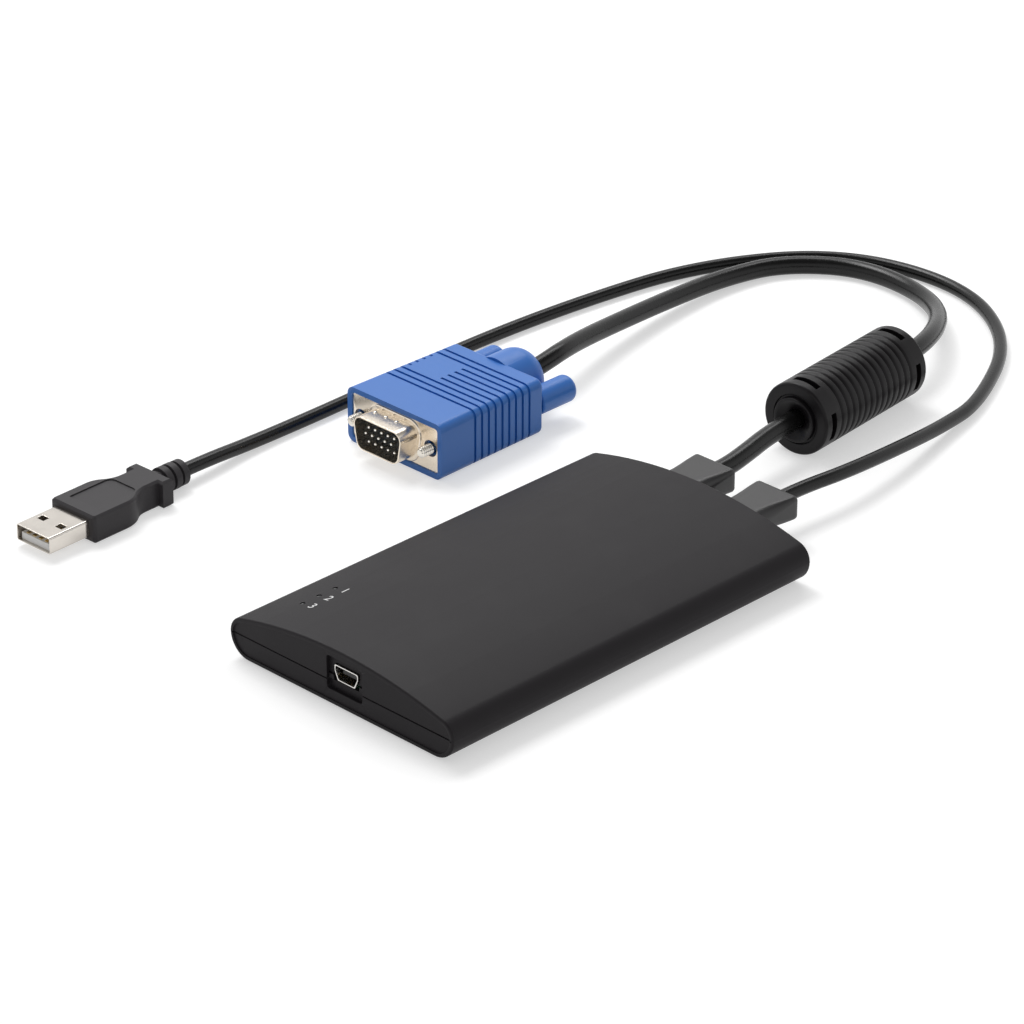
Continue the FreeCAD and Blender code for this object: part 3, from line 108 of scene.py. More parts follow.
# Leads: the points that each one's spline follows, in metres
VGA_LEAD_DIAMETER = 0.005
VGA_ROUTE = [
    (-0.0086, 0.0760, 0.0085), (-0.0086, 0.0805, 0.0085), (-0.0096, 0.0885, 0.0091),
    (-0.01146, 0.0990, 0.00975), (-0.01288, 0.1137, 0.00975), (-0.01570, 0.1430, 0.00975),
    (-0.01841, 0.1712, 0.00975), (-0.0400, 0.1995, 0.0030), (-0.0690, 0.2045, 0.0025),
    (-0.0880, 0.1905, 0.0025), (-0.0927, 0.1714, 0.0029), (-0.0918, 0.1476, 0.0042),
    (-0.0881, 0.1222, 0.0066), (-0.0847, 0.1070, 0.0086), (-0.0819, 0.0968, 0.0097),
    (-0.0813, 0.0915, 0.0092), (-0.0813, 0.0851, 0.0082),
]
USB_LEAD_DIAMETER = 0.0036
USB_ROUTE = [
    (0.0119, 0.0760, 0.0085), (0.0119, 0.0840, 0.0085), (0.0134, 0.1000, 0.0080),
    (0.0116, 0.1220, 0.0060), (0.0080, 0.1430, 0.0032), (0.0040, 0.1630, 0.0018),
    (-0.0143, 0.1972, 0.0018), (-0.0449, 0.2153, 0.0018), (-0.0824, 0.2078, 0.0018),
    (-0.1046, 0.1740, 0.0018), (-0.1112, 0.1330, 0.0018), (-0.1134, 0.0920, 0.0018),
    (-0.1116, 0.0500, 0.0018), (-0.1114, 0.0160, 0.0018), (-0.109527, -0.001426, 0.0037),
    (-0.109260, -0.010422, 0.0037),
]
LEAD_SIDES = 6
LEAD_STEPS = 24

# Choke, in its own frame: the middle of its near face, with +Y along the lead
CHOKE_PLACE = (-12.5, 109.8, 9.75)
CHOKE_YAW = 5.5
CHOKE_RADIUS = 9.75
CHOKE_LENGTH = 44.0
CHOKE_BORE = 2.6
CHOKE_EDGE = 0.8
CHOKE_CORE_RADIUS = 7.7
CHOKE_CORE_START = 7.0
CHOKE_COLUMNS = 128
CHOKE_RINGS = 13
CHOKE_RING_PITCH = 2.5
CHOKE_RING_DEPTH = 0.42
CHOKE_RING_HALF = 0.62
CHOKE_SLOT_FIRST = 2.6
CHOKE_SLOT_WIDTH = 1.9
CHOKE_SLOT_DEPTH = 1.7
CHOKE_SLOT_TURN = -26.5
CHOKE_SLOT_SPAN = 45.0
CHOKE_EDGE_STEPS = 6

# Near face of the choke from its bore outwards, as radius and Y
CHOKE_FACE = [
    (CHOKE_BORE, 0.6), (5.0, -0.9), (5.15, -1.0), (5.85, -1.0), (6.0, -0.85), (6.0, 0.5),
    (6.1, 0.6), (6.6, 0.6), (6.7, 0.5), (6.7, 0.12), (6.82, 0.0),
]

# VGA plug, in its own frame: the middle of the hood's front face, with +Y to the lead
VGA_PLACE = (-81.3, 36.2, 7.7)
PIN_COUNT = 15
PINS_IN_ROW = 5.0
PIN_PITCH = 2.29
PIN_ROW_PITCH = 1.98
PIN_RADIUS = 0.4
PIN_TIP_Y = -5.2
PIN_TAIL_Y = 2.6
DIMPLE_RADIUS = 0.62
DIMPLE_HEIGHT = 0.32
DIMPLE_SHIFT = -1.2
DIMPLE_Y = -1.6
DIMPLE_PITCH = 3.85
DIMPLE_STEPS = 7
SKIRT_TOP = 4.65
JACK_SPACING = 25.0
THREAD_PITCH = 0.635
THREAD_CORE = 1.12
THREAD_OUTER = 1.4
THREAD_START = -3.4
THREAD_END = 0.4
THREAD_LEAD_IN = 0.45
THREAD_NOSE = 0.25
THREAD_FLANK = 2.7
THREAD_STEPS = 56
SHANK_RADIUS = 1.2
SHANK_END = 46.3
COLLAR_RADIUS = 1.6
COLLAR_START = 32.9
COLLAR_END = 33.7
JACK_SIDES = 40

# View and light, with the photograph taken as 1024 by 1024
VIEW_AZIMUTH = 44.601
VIEW_ELEVATION = 27.534
VIEW_ROLL = 0.113
VIEW_TARGET = (-40.68, 37.12, 0.0)
VIEW_DISTANCE = 1160.7
VIEW_LENS = 165.74
SENSOR_WIDTH = 36.0
FLOOR_LIFT = 0.50
SKY_LIGHT = 0.44
WHITE_BELOW = 0.52
DIM_ABOVE = 0.80
CEILING_LIGHT = 0.15
FLOOR_HALF = 3.0
FLOOR_GAP = 0.00002
LIGHT_DISTANCE = 1.1

# Soft lights: azimuth and elevation in degrees, width and height in metres, radiance
SOFTBOXES = {
    "softbox_high": (VIEW_AZIMUTH + 212.0, 60.0, 0.45, 0.35, 8.5),
    "softbox_low": (VIEW_AZIMUTH + 190.0, 51.0, 1.2, 0.36, 4.2),
}


# Finishes

def sign(operation):
    """Method that puts a Math node behind one arithmetic sign."""
    def apply(self, other=0.0):
        return self.finish.node("ShaderNodeMath", {"operation": operation}, {0: self, 1: other})
    return apply


def reflected_sign(operation):
    """The same for a number that stands before the sign."""
    def apply(self, other):
        return self.finish.node("ShaderNodeMath", {"operation": operation}, {0: other, 1: self})
    return apply


class Wire:
    """One output socket of a finish, with the signs of arithmetic."""

    def __init__(self, finish, socket):
        self.finish = finish
        self.socket = socket

    __add__ = sign("ADD")
    __radd__ = reflected_sign("ADD")
    __sub__ = sign("SUBTRACT")
    __rsub__ = reflected_sign("SUBTRACT")
    __mul__ = sign("MULTIPLY")
    __abs__ = sign("ABSOLUTE")
    above = sign("GREATER_THAN")
    below = sign("LESS_THAN")
    most = sign("MAXIMUM")
    part = sign("FRACT")


class Finish:
    """A material: constants sit on its shader, and what varies is wired in by socket name."""

    def __init__(self, name, **constants):
        self.material = bpy.data.materials.new(name)
        self.material.use_nodes = True
        self.tree = self.material.node_tree
        self.shader = self.tree.nodes["Principled BSDF"]
        for socket, value in constants.items():
            self.shader.inputs[socket.replace("_", " ")].default_value = value
        self.place = self.node("ShaderNodeTexCoord", {}, {}, "Object")

    def node(self, kind, settings, sockets, output=0):
        made = self.tree.nodes.new(kind)
        for setting, value in settings.items():
            setattr(made, setting, value)
        for socket, value in sockets.items():
            if isinstance(value, Wire):
                self.tree.links.new(value.socket, made.inputs[socket])
            else:
                made.inputs[socket].default_value = value
        return Wire(self, made.outputs[output])

    def noise(self, size_mm, detail=2.0, place=None):
        """Cloudy pattern, 0 to 1, whose spots are about size_mm across."""
        sockets = {"Vector": place or self.place, "Scale": 1 / (size_mm * MM), "Detail": detail}
        return self.node("ShaderNodeTexNoise", {}, sockets)

    def stretched(self, along):
        """Object place with one direction drawn out, for a pattern that runs along Y."""
        factors = (1.0, 1 / along, 1.0)
        return self.node("ShaderNodeVectorMath", {"operation": "MULTIPLY"}, {0: self.place, 1: factors})

    def axis(self, letter):
        return self.node("ShaderNodeSeparateXYZ", {}, {0: self.place}, letter)

    def colours(self, amount, low, high):
        """The low colour, which may be a wire, where amount is 0, and the high one where it is 1."""
        mix = {"data_type": "RGBA", "clamp_factor": True}
        under = low if isinstance(low, Wire) else (*low, 1.0)
        return self.node("ShaderNodeMix", mix, {0: amount, 6: under, 7: (*high, 1.0)}, 2)

    def steps(self, source, low, high):
        """Smooth step from 0 at low to 1 at high."""
        settings = {"interpolation_type": "SMOOTHSTEP"}
        sockets = {"Value": source, "From Min": low, "From Max": high}
        return self.node("ShaderNodeMapRange", settings, sockets)

    def relief(self, height, depth_mm, strength=1.0):
        sockets = {"Height": height, "Distance": depth_mm * MM, "Strength": strength}
        self.wire("Normal", self.node("ShaderNodeBump", {}, sockets))

    def wire(self, socket, value):
        self.tree.links.new(value.socket, self.shader.inputs[socket])


def lighter(colour, factor):
    return tuple(min(1.0, channel * factor) for channel in colour)


def moulded(name, colour, roughness, grain_mm, grain_depth, spread=0.12, handling=0.06, **constants):
    """Moulded plastic or rubber: fine tool grain, faint clouding and a little handling gloss."""
    finish = Finish(name, **constants)
    cloud = finish.noise(9.0, 3.0)
    grain = finish.noise(grain_mm, 2.0)
    shade = cloud * 0.6 + grain * 0.4
    darkest, palest = lighter(colour, 1 - spread), lighter(colour, 1 + spread)
    finish.wire("Base Color", finish.colours(shade, darkest, palest))
    touched = finish.steps(finish.noise(14.0, 4.0), 0.45, 0.75)
    finish.wire("Roughness", roughness + handling / 2 - touched * handling + (grain - 0.5) * 0.08)
    finish.relief(grain, grain_depth)
    return finish


def plated(name, colour, roughness, stroke_mm=1.2, fine_mm=0.06, **constants):
    """Plated sheet metal: rolling marks along Y, faint stains and small changes of gloss."""
    finish = Finish(name, Metallic=1.0, **constants)
    marks = finish.noise(fine_mm, 2.0, finish.stretched(stroke_mm / fine_mm))
    stain = finish.noise(3.5, 3.0)
    finish.wire("Base Color", finish.colours(stain, lighter(colour, 0.9), lighter(colour, 1.06)))
    finish.wire("Roughness", roughness + (marks - 0.5) * 0.16 + (stain - 0.5) * 0.12)
    finish.relief(marks, 0.004, 0.5)
    return finish


def laminate():
    """Green solder mask with tracks in rows and round vias under it."""
    finish = Finish("board_green_mask", Coat_Weight=0.25, Coat_Roughness=0.2)
    squares = {"voronoi_dimensions": "2D", "feature": "F1", "distance": "MANHATTAN"}
    wide = {"Vector": finish.place, "Scale": 90.0}
    cells = finish.node("ShaderNodeTexVoronoi", squares, wide, "Distance")
    tracks = finish.steps(abs((cells * 12.0).part() - 0.5), 0.22, 0.3)
    dots = {"voronoi_dimensions": "2D", "feature": "F1"}
    close = {"Vector": finish.place, "Scale": 260.0}
    vias = finish.node("ShaderNodeTexVoronoi", dots, close, "Distance")
    rings = vias.below(0.13)
    green = finish.colours(tracks, (0.010, 0.085, 0.035), (0.022, 0.150, 0.060))
    finish.wire("Base Color", finish.colours(rings, green, (0.62, 0.56, 0.42)))
    finish.wire("Roughness", 0.38 - tracks * 0.08 + (finish.noise(0.2) - 0.5) * 0.1)
    finish.relief(tracks + rings * 0.6, 0.035)
    return finish


def chip_finish(name, node):
    """Black moulded package whose flat leads, outside the body, are tinned."""
    low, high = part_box(node)
    middle = (low + high) / 2
    lead = CHIP_LEAD * MM
    half_x = (high.x - low.x) / 2 - lead
    half_y = (high.y - low.y) / 2 - lead
    finish = Finish(name)
    if node == "memory_chip":
        half_y = (high.y - low.y) / 2 + lead
    out_x = abs(finish.axis("X") - middle.x).above(half_x)
    out_y = abs(finish.axis("Y") - middle.y).above(half_y)
    leads = out_x.most(out_y)
    grain = finish.noise(0.12)
    inset = lead + CHIP_DOT_INSET * MM
    corner = (low.x + inset, low.y + inset, high.z)
    sockets = {0: finish.place, 1: corner}
    dot = finish.node("ShaderNodeVectorMath", {"operation": "DISTANCE"}, sockets, "Value")
    resin = finish.colours(grain, (0.012, 0.012, 0.013), (0.026, 0.026, 0.028))
    marked = finish.colours(dot.below(CHIP_DOT_RADIUS * MM), resin, (0.10, 0.10, 0.10))
    finish.wire("Base Color", finish.colours(leads, marked, (0.72, 0.72, 0.70)))
    finish.wire("Metallic", leads * 1.0)
    finish.wire("Roughness", 0.62 - leads * 0.3 + (grain - 0.5) * 0.1)
    finish.relief(grain, 0.02)
    return finish


def can_finish():
    """Aluminium can with a dark stripe on one side and a black base."""
    finish = Finish("capacitor_can_aluminium")
    turned = finish.noise(0.08, 2.0)
    base = finish.axis("Z").below(CAN_BASE_TOP * MM)
    stripe = finish.axis("Y").below(CAN_STRIPE_Y * MM)
    dark = base.most(stripe)
    metal = finish.colours(turned, (0.66, 0.66, 0.68), (0.80, 0.80, 0.82))
    finish.wire("Base Color", finish.colours(dark, metal, (0.015, 0.015, 0.017)))
    finish.wire("Metallic", 1 - dark)
    finish.wire("Roughness", 0.34 + dark * 0.2 + (turned - 0.5) * 0.12)
    finish.relief(turned, 0.006)
    return finish


def clear_pipe():
    finish = Finish("light_pipe_acrylic", Transmission_Weight=0.85, IOR=1.49)
    haze = finish.noise(0.5, 3.0)
    finish.wire("Base Color", finish.colours(haze, (0.70, 0.72, 0.72), (0.86, 0.88, 0.88)))
    finish.wire("Roughness", 0.22 + haze * 0.2)
    finish.relief(haze, 0.01)
    return finish


def lead_sheath(name, colour, roughness, **constants):
    """Extruded vinyl: matt with fine scuffs and a soft orange-peel skin."""
    finish = Finish(name, **constants)
    peel = finish.noise(0.35, 3.0)
    scuff = finish.steps(finish.noise(2.2, 5.0), 0.5, 0.72)
    wear = scuff * 0.5 + peel * 0.5
    finish.wire("Base Color", finish.colours(wear, lighter(colour, 0.85), lighter(colour, 1.3)))
    finish.wire("Roughness", roughness + scuff * 0.05 + (peel - 0.5) * 0.07)
    finish.relief(peel, 0.018)
    return finish


def fired_ferrite():
    finish = Finish("choke_core_ferrite")
    speck = finish.noise(0.15, 4.0)
    grains = finish.steps(speck, 0.4, 0.7)
    finish.wire("Base Color", finish.colours(grains, (0.020, 0.020, 0.022), (0.10, 0.10, 0.105)))
    finish.wire("Metallic", finish.steps(speck, 0.5, 0.8) * 0.4)
    finish.wire("Roughness", 0.5 + (speck - 0.5) * 0.3)
    finish.relief(speck, 0.03)
    return finish


def printed_ink():
    finish = Finish("digit_ink_white")
    speckle = finish.noise(0.09, 3.0)
    finish.wire("Base Color", finish.colours(speckle, (0.62, 0.62, 0.62), (0.82, 0.82, 0.82)))
    finish.wire("Roughness", 0.5 + speckle * 0.12)
    finish.relief(speckle, 0.004)
    return finish


FINISHES = {
    "case_plastic": moulded("case_soft_black", (0.017, 0.015, 0.017), 0.50, 0.16, 0.010, spread=0.06,
                            handling=0.02, Specular_IOR_Level=0.14),
    "foot_rubber": moulded("foot_rubber_grey", (0.030, 0.030, 0.031), 0.82, 0.3, 0.02),
    "screw_steel": plated("case_screw_zinc", (0.62, 0.62, 0.64), 0.30, 0.3, 0.08),
    "board_laminate": laminate(),
    "crystal_can": plated("crystal_can_nickel", (0.68, 0.66, 0.62), 0.24),
    "inductor_resin": moulded("inductor_grey_resin", (0.075, 0.075, 0.080), 0.6, 0.12, 0.03),
    "capacitor_can": can_finish(),
    "header_plastic": moulded("header_nylon_cream", (0.70, 0.66, 0.56), 0.42, 0.2, 0.01),
    "inner_sheath": lead_sheath("inner_lead_grey_vinyl", (0.10, 0.10, 0.105), 0.5),
    "light_clear": clear_pipe(),
    "socket_steel": plated("mini_socket_nickel", (0.74, 0.72, 0.69), 0.24, 0.8, 0.05),
    "socket_black": moulded("socket_black_nylon", (0.012, 0.012, 0.013), 0.42, 0.12, 0.006),
    "contact_gold": plated("contact_gold_plate", (0.90, 0.68, 0.32), 0.22, 0.5, 0.04),
    "cable_black": lead_sheath("lead_black_vinyl", (0.005, 0.005, 0.005), 0.25, Specular_IOR_Level=0.28),
    "boot_black": moulded("boot_black_vinyl", (0.014, 0.013, 0.014), 0.36, 0.22, 0.006,
                          Specular_IOR_Level=0.50),
    "choke_black": moulded("choke_satin_black", (0.006, 0.005, 0.006), 0.38, 0.18, 0.010,
                           Specular_IOR_Level=0.20),
    "choke_ferrite": fired_ferrite(),
    "plug_blue": moulded("plug_blue_vinyl", (0.017, 0.145, 0.510), 0.38, 0.2, 0.006, spread=0.05,
                         Specular_IOR_Level=0.58),
    "plug_nickel": plated("plug_shell_nickel", (0.84, 0.75, 0.63), 0.26),
    "jack_steel": plated("jackscrew_nickel", (0.74, 0.70, 0.63), 0.24, 0.3, 0.05),
    "insulator_dark": moulded("insulator_dark_blue", (0.006, 0.014, 0.026), 0.45, 0.15, 0.006),
    "pin_plated": plated("pin_bright_plate", (0.92, 0.90, 0.84), 0.16, 0.3, 0.05),
    "usb_tongue_plastic": moulded("usb_tongue_white", (0.88, 0.87, 0.85), 0.4, 0.2, 0.005, spread=0.04),
    "usb_black": moulded("usb_grip_vinyl", (0.046, 0.043, 0.046), 0.45, 0.2, 0.010,
                         Specular_IOR_Level=0.18),
    "usb_steel": plated("usb_shell_nickel", (0.66, 0.62, 0.57), 0.17),
    "digit_ink": printed_ink(),
}

# Finish of each solid that is shown as it comes
NODE_FINISHES = {
    "case_screws": "screw_steel",
    "rubber_feet": "foot_rubber",
    "circuit_board": "board_laminate",
    "clock_crystal": "crystal_can",
    "power_inductor": "inductor_resin",
    "filter_capacitors": "capacitor_can",
    "vga_board_header": "header_plastic",
    "usb_board_header": "header_plastic",
    "vga_inner_lead": "inner_sheath",
    "usb_inner_lead": "inner_sheath",
    "status_leds": "header_plastic",
    "light_pipes": "light_clear",
    "mini_usb_insert": "socket_black",
    "mini_usb_contacts": "contact_gold",
    "ferrite_core": "choke_ferrite",
    "vga_rear_shell": "plug_nickel",
    "usb_plug_contacts": "contact_gold",
}
CHIPS = ("main_processor", "video_converter_chip", "memory_chip")

# Solids that are shown with their edges rounded: piece name, finish, edge width in mm
SOFTENED = {
    "top_cover": ("crowned_cover", "case_plastic", 0.10),
    "bottom_cover": ("base_cover", "case_plastic", 0.10),
    "mini_usb_shell": ("mini_socket_shell", "socket_steel", 0.08),
    "vga_hood": ("plug_hood", "plug_blue", 0.14),
    "vga_front_shell": ("plug_front_shell", "plug_nickel", 0.12),
    "vga_insulator": ("plug_insulator", "insulator_dark", 0.10),
    "vga_knob_left": ("thumb_knob_left", "plug_blue", 0.20),
    "vga_knob_right": ("thumb_knob_right", "plug_blue", 0.20),
    "usb_plug_shell": ("usb_mouth_shell", "usb_steel", 0.08),
    "usb_plug_tongue": ("usb_tongue", "usb_tongue_plastic", 0.10),
    "usb_plug_body": ("usb_grip", "usb_black", 0.18),
}
MOVING = {"vga_knob_left": "left_thumbscrew", "vga_knob_right": "right_thumbscrew"}


# Making pieces

def add_piece(name, mesh):
    piece = bpy.data.objects.new(name, mesh)
    bpy.context.collection.objects.link(piece)
    return piece


def paint(mesh, finish):
    mesh.materials.clear()
    mesh.materials.append(finish.material)


def opened(mesh):
    """A mesh's form, open for changes."""
    form = bmesh.new()
    form.from_mesh(mesh)
    return form


def keep(form, mesh):
    """Writes a changed form into a mesh."""
    form.to_mesh(mesh)
    form.free()


def made_plain(piece):
    """Turns a piece with modifiers into a plain mesh."""
    graph = bpy.context.evaluated_depsgraph_get()
    mesh = bpy.data.meshes.new_from_object(piece.evaluated_get(graph))
    piece.modifiers.clear()
    piece.data = mesh
    return piece


def split_across(form, axis, places_mm):
    """Adds edges where a mesh crosses planes at the given places along an axis."""
    for place in places_mm:
        everything = form.verts[:] + form.edges[:] + form.faces[:]
        bmesh.ops.bisect_plane(form, geom=everything, dist=MERGE_DISTANCE,
                               plane_co=axis * place * MM, plane_no=axis)


def join_flats(form):
    bmesh.ops.dissolve_limit(form, angle_limit=math.radians(FLAT_FOLD), verts=form.verts, edges=form.edges)


def cut_in_cells(form):
    """Cuts the wide flats of a cover across, so that no triangle of them is long and thin."""
    for axis, half in ((Vector((1, 0, 0)), HALF_WIDTH), (Vector((0, 1, 0)), HALF_LENGTH)):
        count = int(half / CELL_SIZE)
        split_across(form, axis, [(i + CELL_OFFSET) * CELL_SIZE for i in range(-count, count + 1)])


def finish_edges(piece, width_mm, angle=35.0, segments=2, left_sharp=None, in_cells=False):
    """Rounds the sharp edges, but for those left sharp, and lets the flats keep their shading."""
    for face in piece.data.polygons:
        face.use_smooth = True
    if width_mm:
        form = opened(piece.data)
        share = form.edges.layers.float.new("bevel_weight_edge")
        for edge in form.edges:
            folded = edge.calc_face_angle(0.0) > math.radians(angle)
            if folded and not (left_sharp and left_sharp(edge)):
                edge[share] = 1.0
        keep(form, piece.data)
        bevel = piece.modifiers.new("edge_round", "BEVEL")
        bevel.width = width_mm * MM
        bevel.segments = segments
        bevel.limit_method = "WEIGHT"
        bevel.use_clamp_overlap = not in_cells
    made_plain(piece)
    form = opened(piece.data)
    if in_cells:
        cut_in_cells(form)
    bmesh.ops.triangulate(form, faces=[face for face in form.faces if len(face.verts) > 4])
    keep(form, piece.data)
    piece.data.set_sharp_from_angle(angle=math.radians(angle + 5))
    weighted = piece.modifiers.new("flat_shading", "WEIGHTED_NORMAL")
    weighted.keep_sharp = True
    weighted.weight = 80
    return made_plain(piece)


def dress(piece, finish_name, body="adapter", nodes=()):
    """Gives a piece its finish, its body and the solids that it stands for."""
    paint(piece.data, FINISHES[finish_name])
    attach(piece, body)
    if nodes:
        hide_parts(*nodes)
    return piece


def close_skin(mesh):
    """Merges points that lie together and turns every face outwards."""
    form = opened(mesh)
    bmesh.ops.remove_doubles(form, verts=form.verts, dist=MERGE_DISTANCE)
    bmesh.ops.recalc_face_normals(form, faces=form.faces)
    keep(form, mesh)


def skin(name, rings, closed=False):
    """Mesh over rings of points in mm; the two ends get a face each, or meet when closed."""
    count = len(rings[0])
    points = [tuple(value * MM for value in point) for ring in rings for point in ring]
    faces = []
    for i in range(len(rings) if closed else len(rings) - 1):
        low = i * count
        high = (i + 1) % len(rings) * count
        for j in range(count):
            k = (j + 1) % count
            faces.append((low + j, low + k, high + k, high + j))
    if not closed:
        last = (len(rings) - 1) * count
        faces.append(tuple(reversed(range(count))))
        faces.append(tuple(range(last, last + count)))
    mesh = bpy.data.meshes.new(name)
    mesh.from_pydata(points, [], faces)
    close_skin(mesh)
    return add_piece(name, mesh)


def moved(piece, place_mm, yaw=0.0):
    """Puts a piece's place and turn into its mesh."""
    turn = Euler((0, 0, math.radians(yaw))).to_matrix().to_4x4()
    piece.data.transform(Matrix.Translation(Vector(place_mm) * MM) @ turn)
    return piece


def panel_outline():
    """Closed outline of an end panel in X and Z: the section of the box, moved inwards by the rim."""
    lean = math.atan2(SEAM_HEIGHT - CROWN_CENTRE, ROUND_CENTRE_X)
    arcs = [(0.0, CROWN_CENTRE, CROWN_RADIUS, math.pi / 2, lean),
            (ROUND_CENTRE_X, SEAM_HEIGHT, SIDE_ROUND, lean, 0.0),
            (HALF_WIDTH - BOTTOM_ROUND, SEAM_HEIGHT, BOTTOM_ROUND, 0.0, -math.pi / 2)]
    right = []
    for x, z, radius, start, end in arcs:
        for i in range(ARC_STEPS + 1):
            angle = start + (end - start) * i / ARC_STEPS
            inner = radius - RIM_WIDTH
            point = (x + inner * math.cos(angle), z + inner * math.sin(angle))
            if not right or math.dist(point, right[-1]) > RIM_WIDTH / 100:
                right.append(point)
    return right + [(-x, z) for x, z in reversed(right[1:])]


def cut_away(piece, cutter):
    cut = piece.modifiers.new("cut", "BOOLEAN")
    cut.operation = "DIFFERENCE"
    cut.solver = "EXACT"
    cut.object = cutter
    made_plain(piece)
    bpy.data.objects.remove(cutter)


def cut_ends(piece):
    """Sets both end panels back behind their rims and drops the short edges of the cut."""
    outline = panel_outline()
    for end in (-1, 1):
        depths = (end * (HALF_LENGTH + 1), end * (HALF_LENGTH - PANEL_SETBACK))
        cut_away(piece, skin("cutter", [[(x, y, z) for x, z in outline] for y in depths]))
    form = opened(piece.data)
    bmesh.ops.remove_doubles(form, verts=form.verts, dist=SHORTEST_EDGE * MM)
    join_flats(form)
    keep(form, piece.data)


def keep_end_seam(form):
    """Closes the groove along the box's sides and rims, and moves it deeper across the end panels."""
    split_across(form, Vector((1, 0, 0)), (RIM_WIDTH - HALF_WIDTH, HALF_WIDTH - RIM_WIDTH))
    for point in form.verts:
        x, y, z = point.co / MM
        low_edge = abs(z - SEAM_HEIGHT + SEAM_GROOVE_HEIGHT) < NEAR
        at_seam = SEAM_HEIGHT - SEAM_GROOVE_HEIGHT - NEAR < z < SEAM_HEIGHT + NEAR
        if low_edge and abs(x) > HALF_WIDTH - SEAM_GROOVE_DEPTH + NEAR:
            point.co.z = (SEAM_HEIGHT - CLOSED_SEAM) * MM
        if at_seam and abs(abs(y) - HALF_LENGTH + SEAM_GROOVE_DEPTH) < NEAR:
            point.co.y = math.copysign(HALF_LENGTH - SEAM_SLOT_DEPTH, y) * MM


def deepen_pocket(form):
    for point in form.verts:
        if abs(point.co.y / MM - POCKET_FLOOR_Y) < NEAR:
            point.co.y += POCKET_DEEPER * MM


def stays_sharp(edge):
    """True for the cover edges that meet where no seam shows, and for the rims of the light holes."""
    places = [point.co / MM for point in edge.verts]
    on_seam = all(abs(z - SEAM_HEIGHT) < 2 * NEAR and abs(x) > HALF_WIDTH - RIM_WIDTH - NEAR
                  for x, y, z in places)
    in_crown = all(abs(y) < HALF_LENGTH - RIM_WIDTH and z > SEAM_HEIGHT + SIDE_ROUND / 2
                   for x, y, z in places)
    return on_seam or in_crown and all(abs(x - LIGHT_X) < LIGHT_REACH for x, y, z in places)


def softened(node):
    """Copy of a solid with its edges rounded, as a moulding or pressing has them."""
    name, finish_name, width = SOFTENED[node]
    is_cover = node in ("top_cover", "bottom_cover")
    form = opened(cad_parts[node].data)
    bmesh.ops.remove_doubles(form, verts=form.verts, dist=MERGE_DISTANCE)
    if is_cover:
        deepen_pocket(form)
    if node == "bottom_cover":
        keep_end_seam(form)
    join_flats(form)
    mesh = bpy.data.meshes.new(name)
    keep(form, mesh)
    for attribute in ("custom_normal", "sharp_edge", "sharp_face"):
        if attribute in mesh.attributes:
            mesh.attributes.remove(mesh.attributes[attribute])
    piece = add_piece(name, mesh)
    if is_cover:
        cut_ends(piece)
    finish_edges(piece, width, left_sharp=stays_sharp if is_cover else None, in_cells=is_cover)
    return dress(piece, finish_name, MOVING.get(node, "adapter"), [node])


def rounded_section(width, height, radius, per_corner=8):
    """Points of a rounded rectangle across the X and Z directions."""
    points = []
    for turn, sx, sz in ((0, 1, 1), (90, -1, 1), (180, -1, -1), (270, 1, -1)):
        for i in range(per_corner + 1):
            angle = math.radians(turn + 90.0 * i / per_corner)
            points.append((sx * (width / 2 - radius) + radius * math.cos(angle),
                           sz * (height / 2 - radius) + radius * math.sin(angle)))
    return points


def cable_boot(node, x):
    rings = []
    for y, width, height, radius in BOOT_SECTIONS:
        rings.append([(x + dx, y, LEAD_Z + dz) for dx, dz in rounded_section(width, height, radius)])
    piece = skin(node.replace("cable_boot", "lead_grip"), rings)
    finish_edges(piece, 0, 40.0)
    return dress(piece, "boot_black", nodes=[node])


def lead(name, route, diameter):
    """Round lead along one smooth spline through the given points."""
    curve = bpy.data.curves.new(name, "CURVE")
    curve.dimensions = "3D"
    line = curve.splines.new("NURBS")
    line.points.add(len(route) - 1)
    for point, place in zip(line.points, route):
        point.co = (*place, 1.0)
    line.order_u = 3
    line.use_endpoint_u = True
    line.resolution_u = LEAD_STEPS
    curve.bevel_depth = diameter / 2
    curve.bevel_resolution = LEAD_SIDES
    curve.use_fill_caps = True
    piece = bpy.data.objects.new(name, curve)
    bpy.context.collection.objects.link(piece)
    return piece


# Choke

def choke_profile():
    """Closed (radius, y) outline of the sleeve: near face, ringed outside, far face, then the inside."""
    near = CHOKE_FACE[:]
    for i in range(CHOKE_EDGE_STEPS + 1):
        angle = math.radians(90.0 * i / CHOKE_EDGE_STEPS)
        radius = CHOKE_RADIUS - CHOKE_EDGE * (1 - math.sin(angle))
        near.append((radius, CHOKE_EDGE * (1 - math.cos(angle))))
    slots = [(CHOKE_RADIUS, CHOKE_SLOT_FIRST), (CHOKE_RADIUS, CHOKE_SLOT_FIRST + CHOKE_SLOT_WIDTH)]
    rings = []
    first = (CHOKE_LENGTH - (CHOKE_RINGS - 1) * CHOKE_RING_PITCH) / 2
    for i in range(CHOKE_RINGS):
        middle = first + i * CHOKE_RING_PITCH
        for step in (-1.0, -0.6, -0.25, 0.0, 0.25, 0.6, 1.0):
            depth = CHOKE_RING_DEPTH * (1 + math.cos(math.pi * step)) / 2
            rings.append((CHOKE_RADIUS - depth, middle + step * CHOKE_RING_HALF))
    ends = near + slots
    far = [(radius, CHOKE_LENGTH - y) for radius, y in reversed(ends)]
    core_end = CHOKE_LENGTH - CHOKE_CORE_START
    inside = [(CHOKE_BORE, core_end), (CHOKE_CORE_RADIUS, core_end),
              (CHOKE_CORE_RADIUS, CHOKE_CORE_START), (CHOKE_BORE, CHOKE_CORE_START)]
    return ends + rings + far + inside


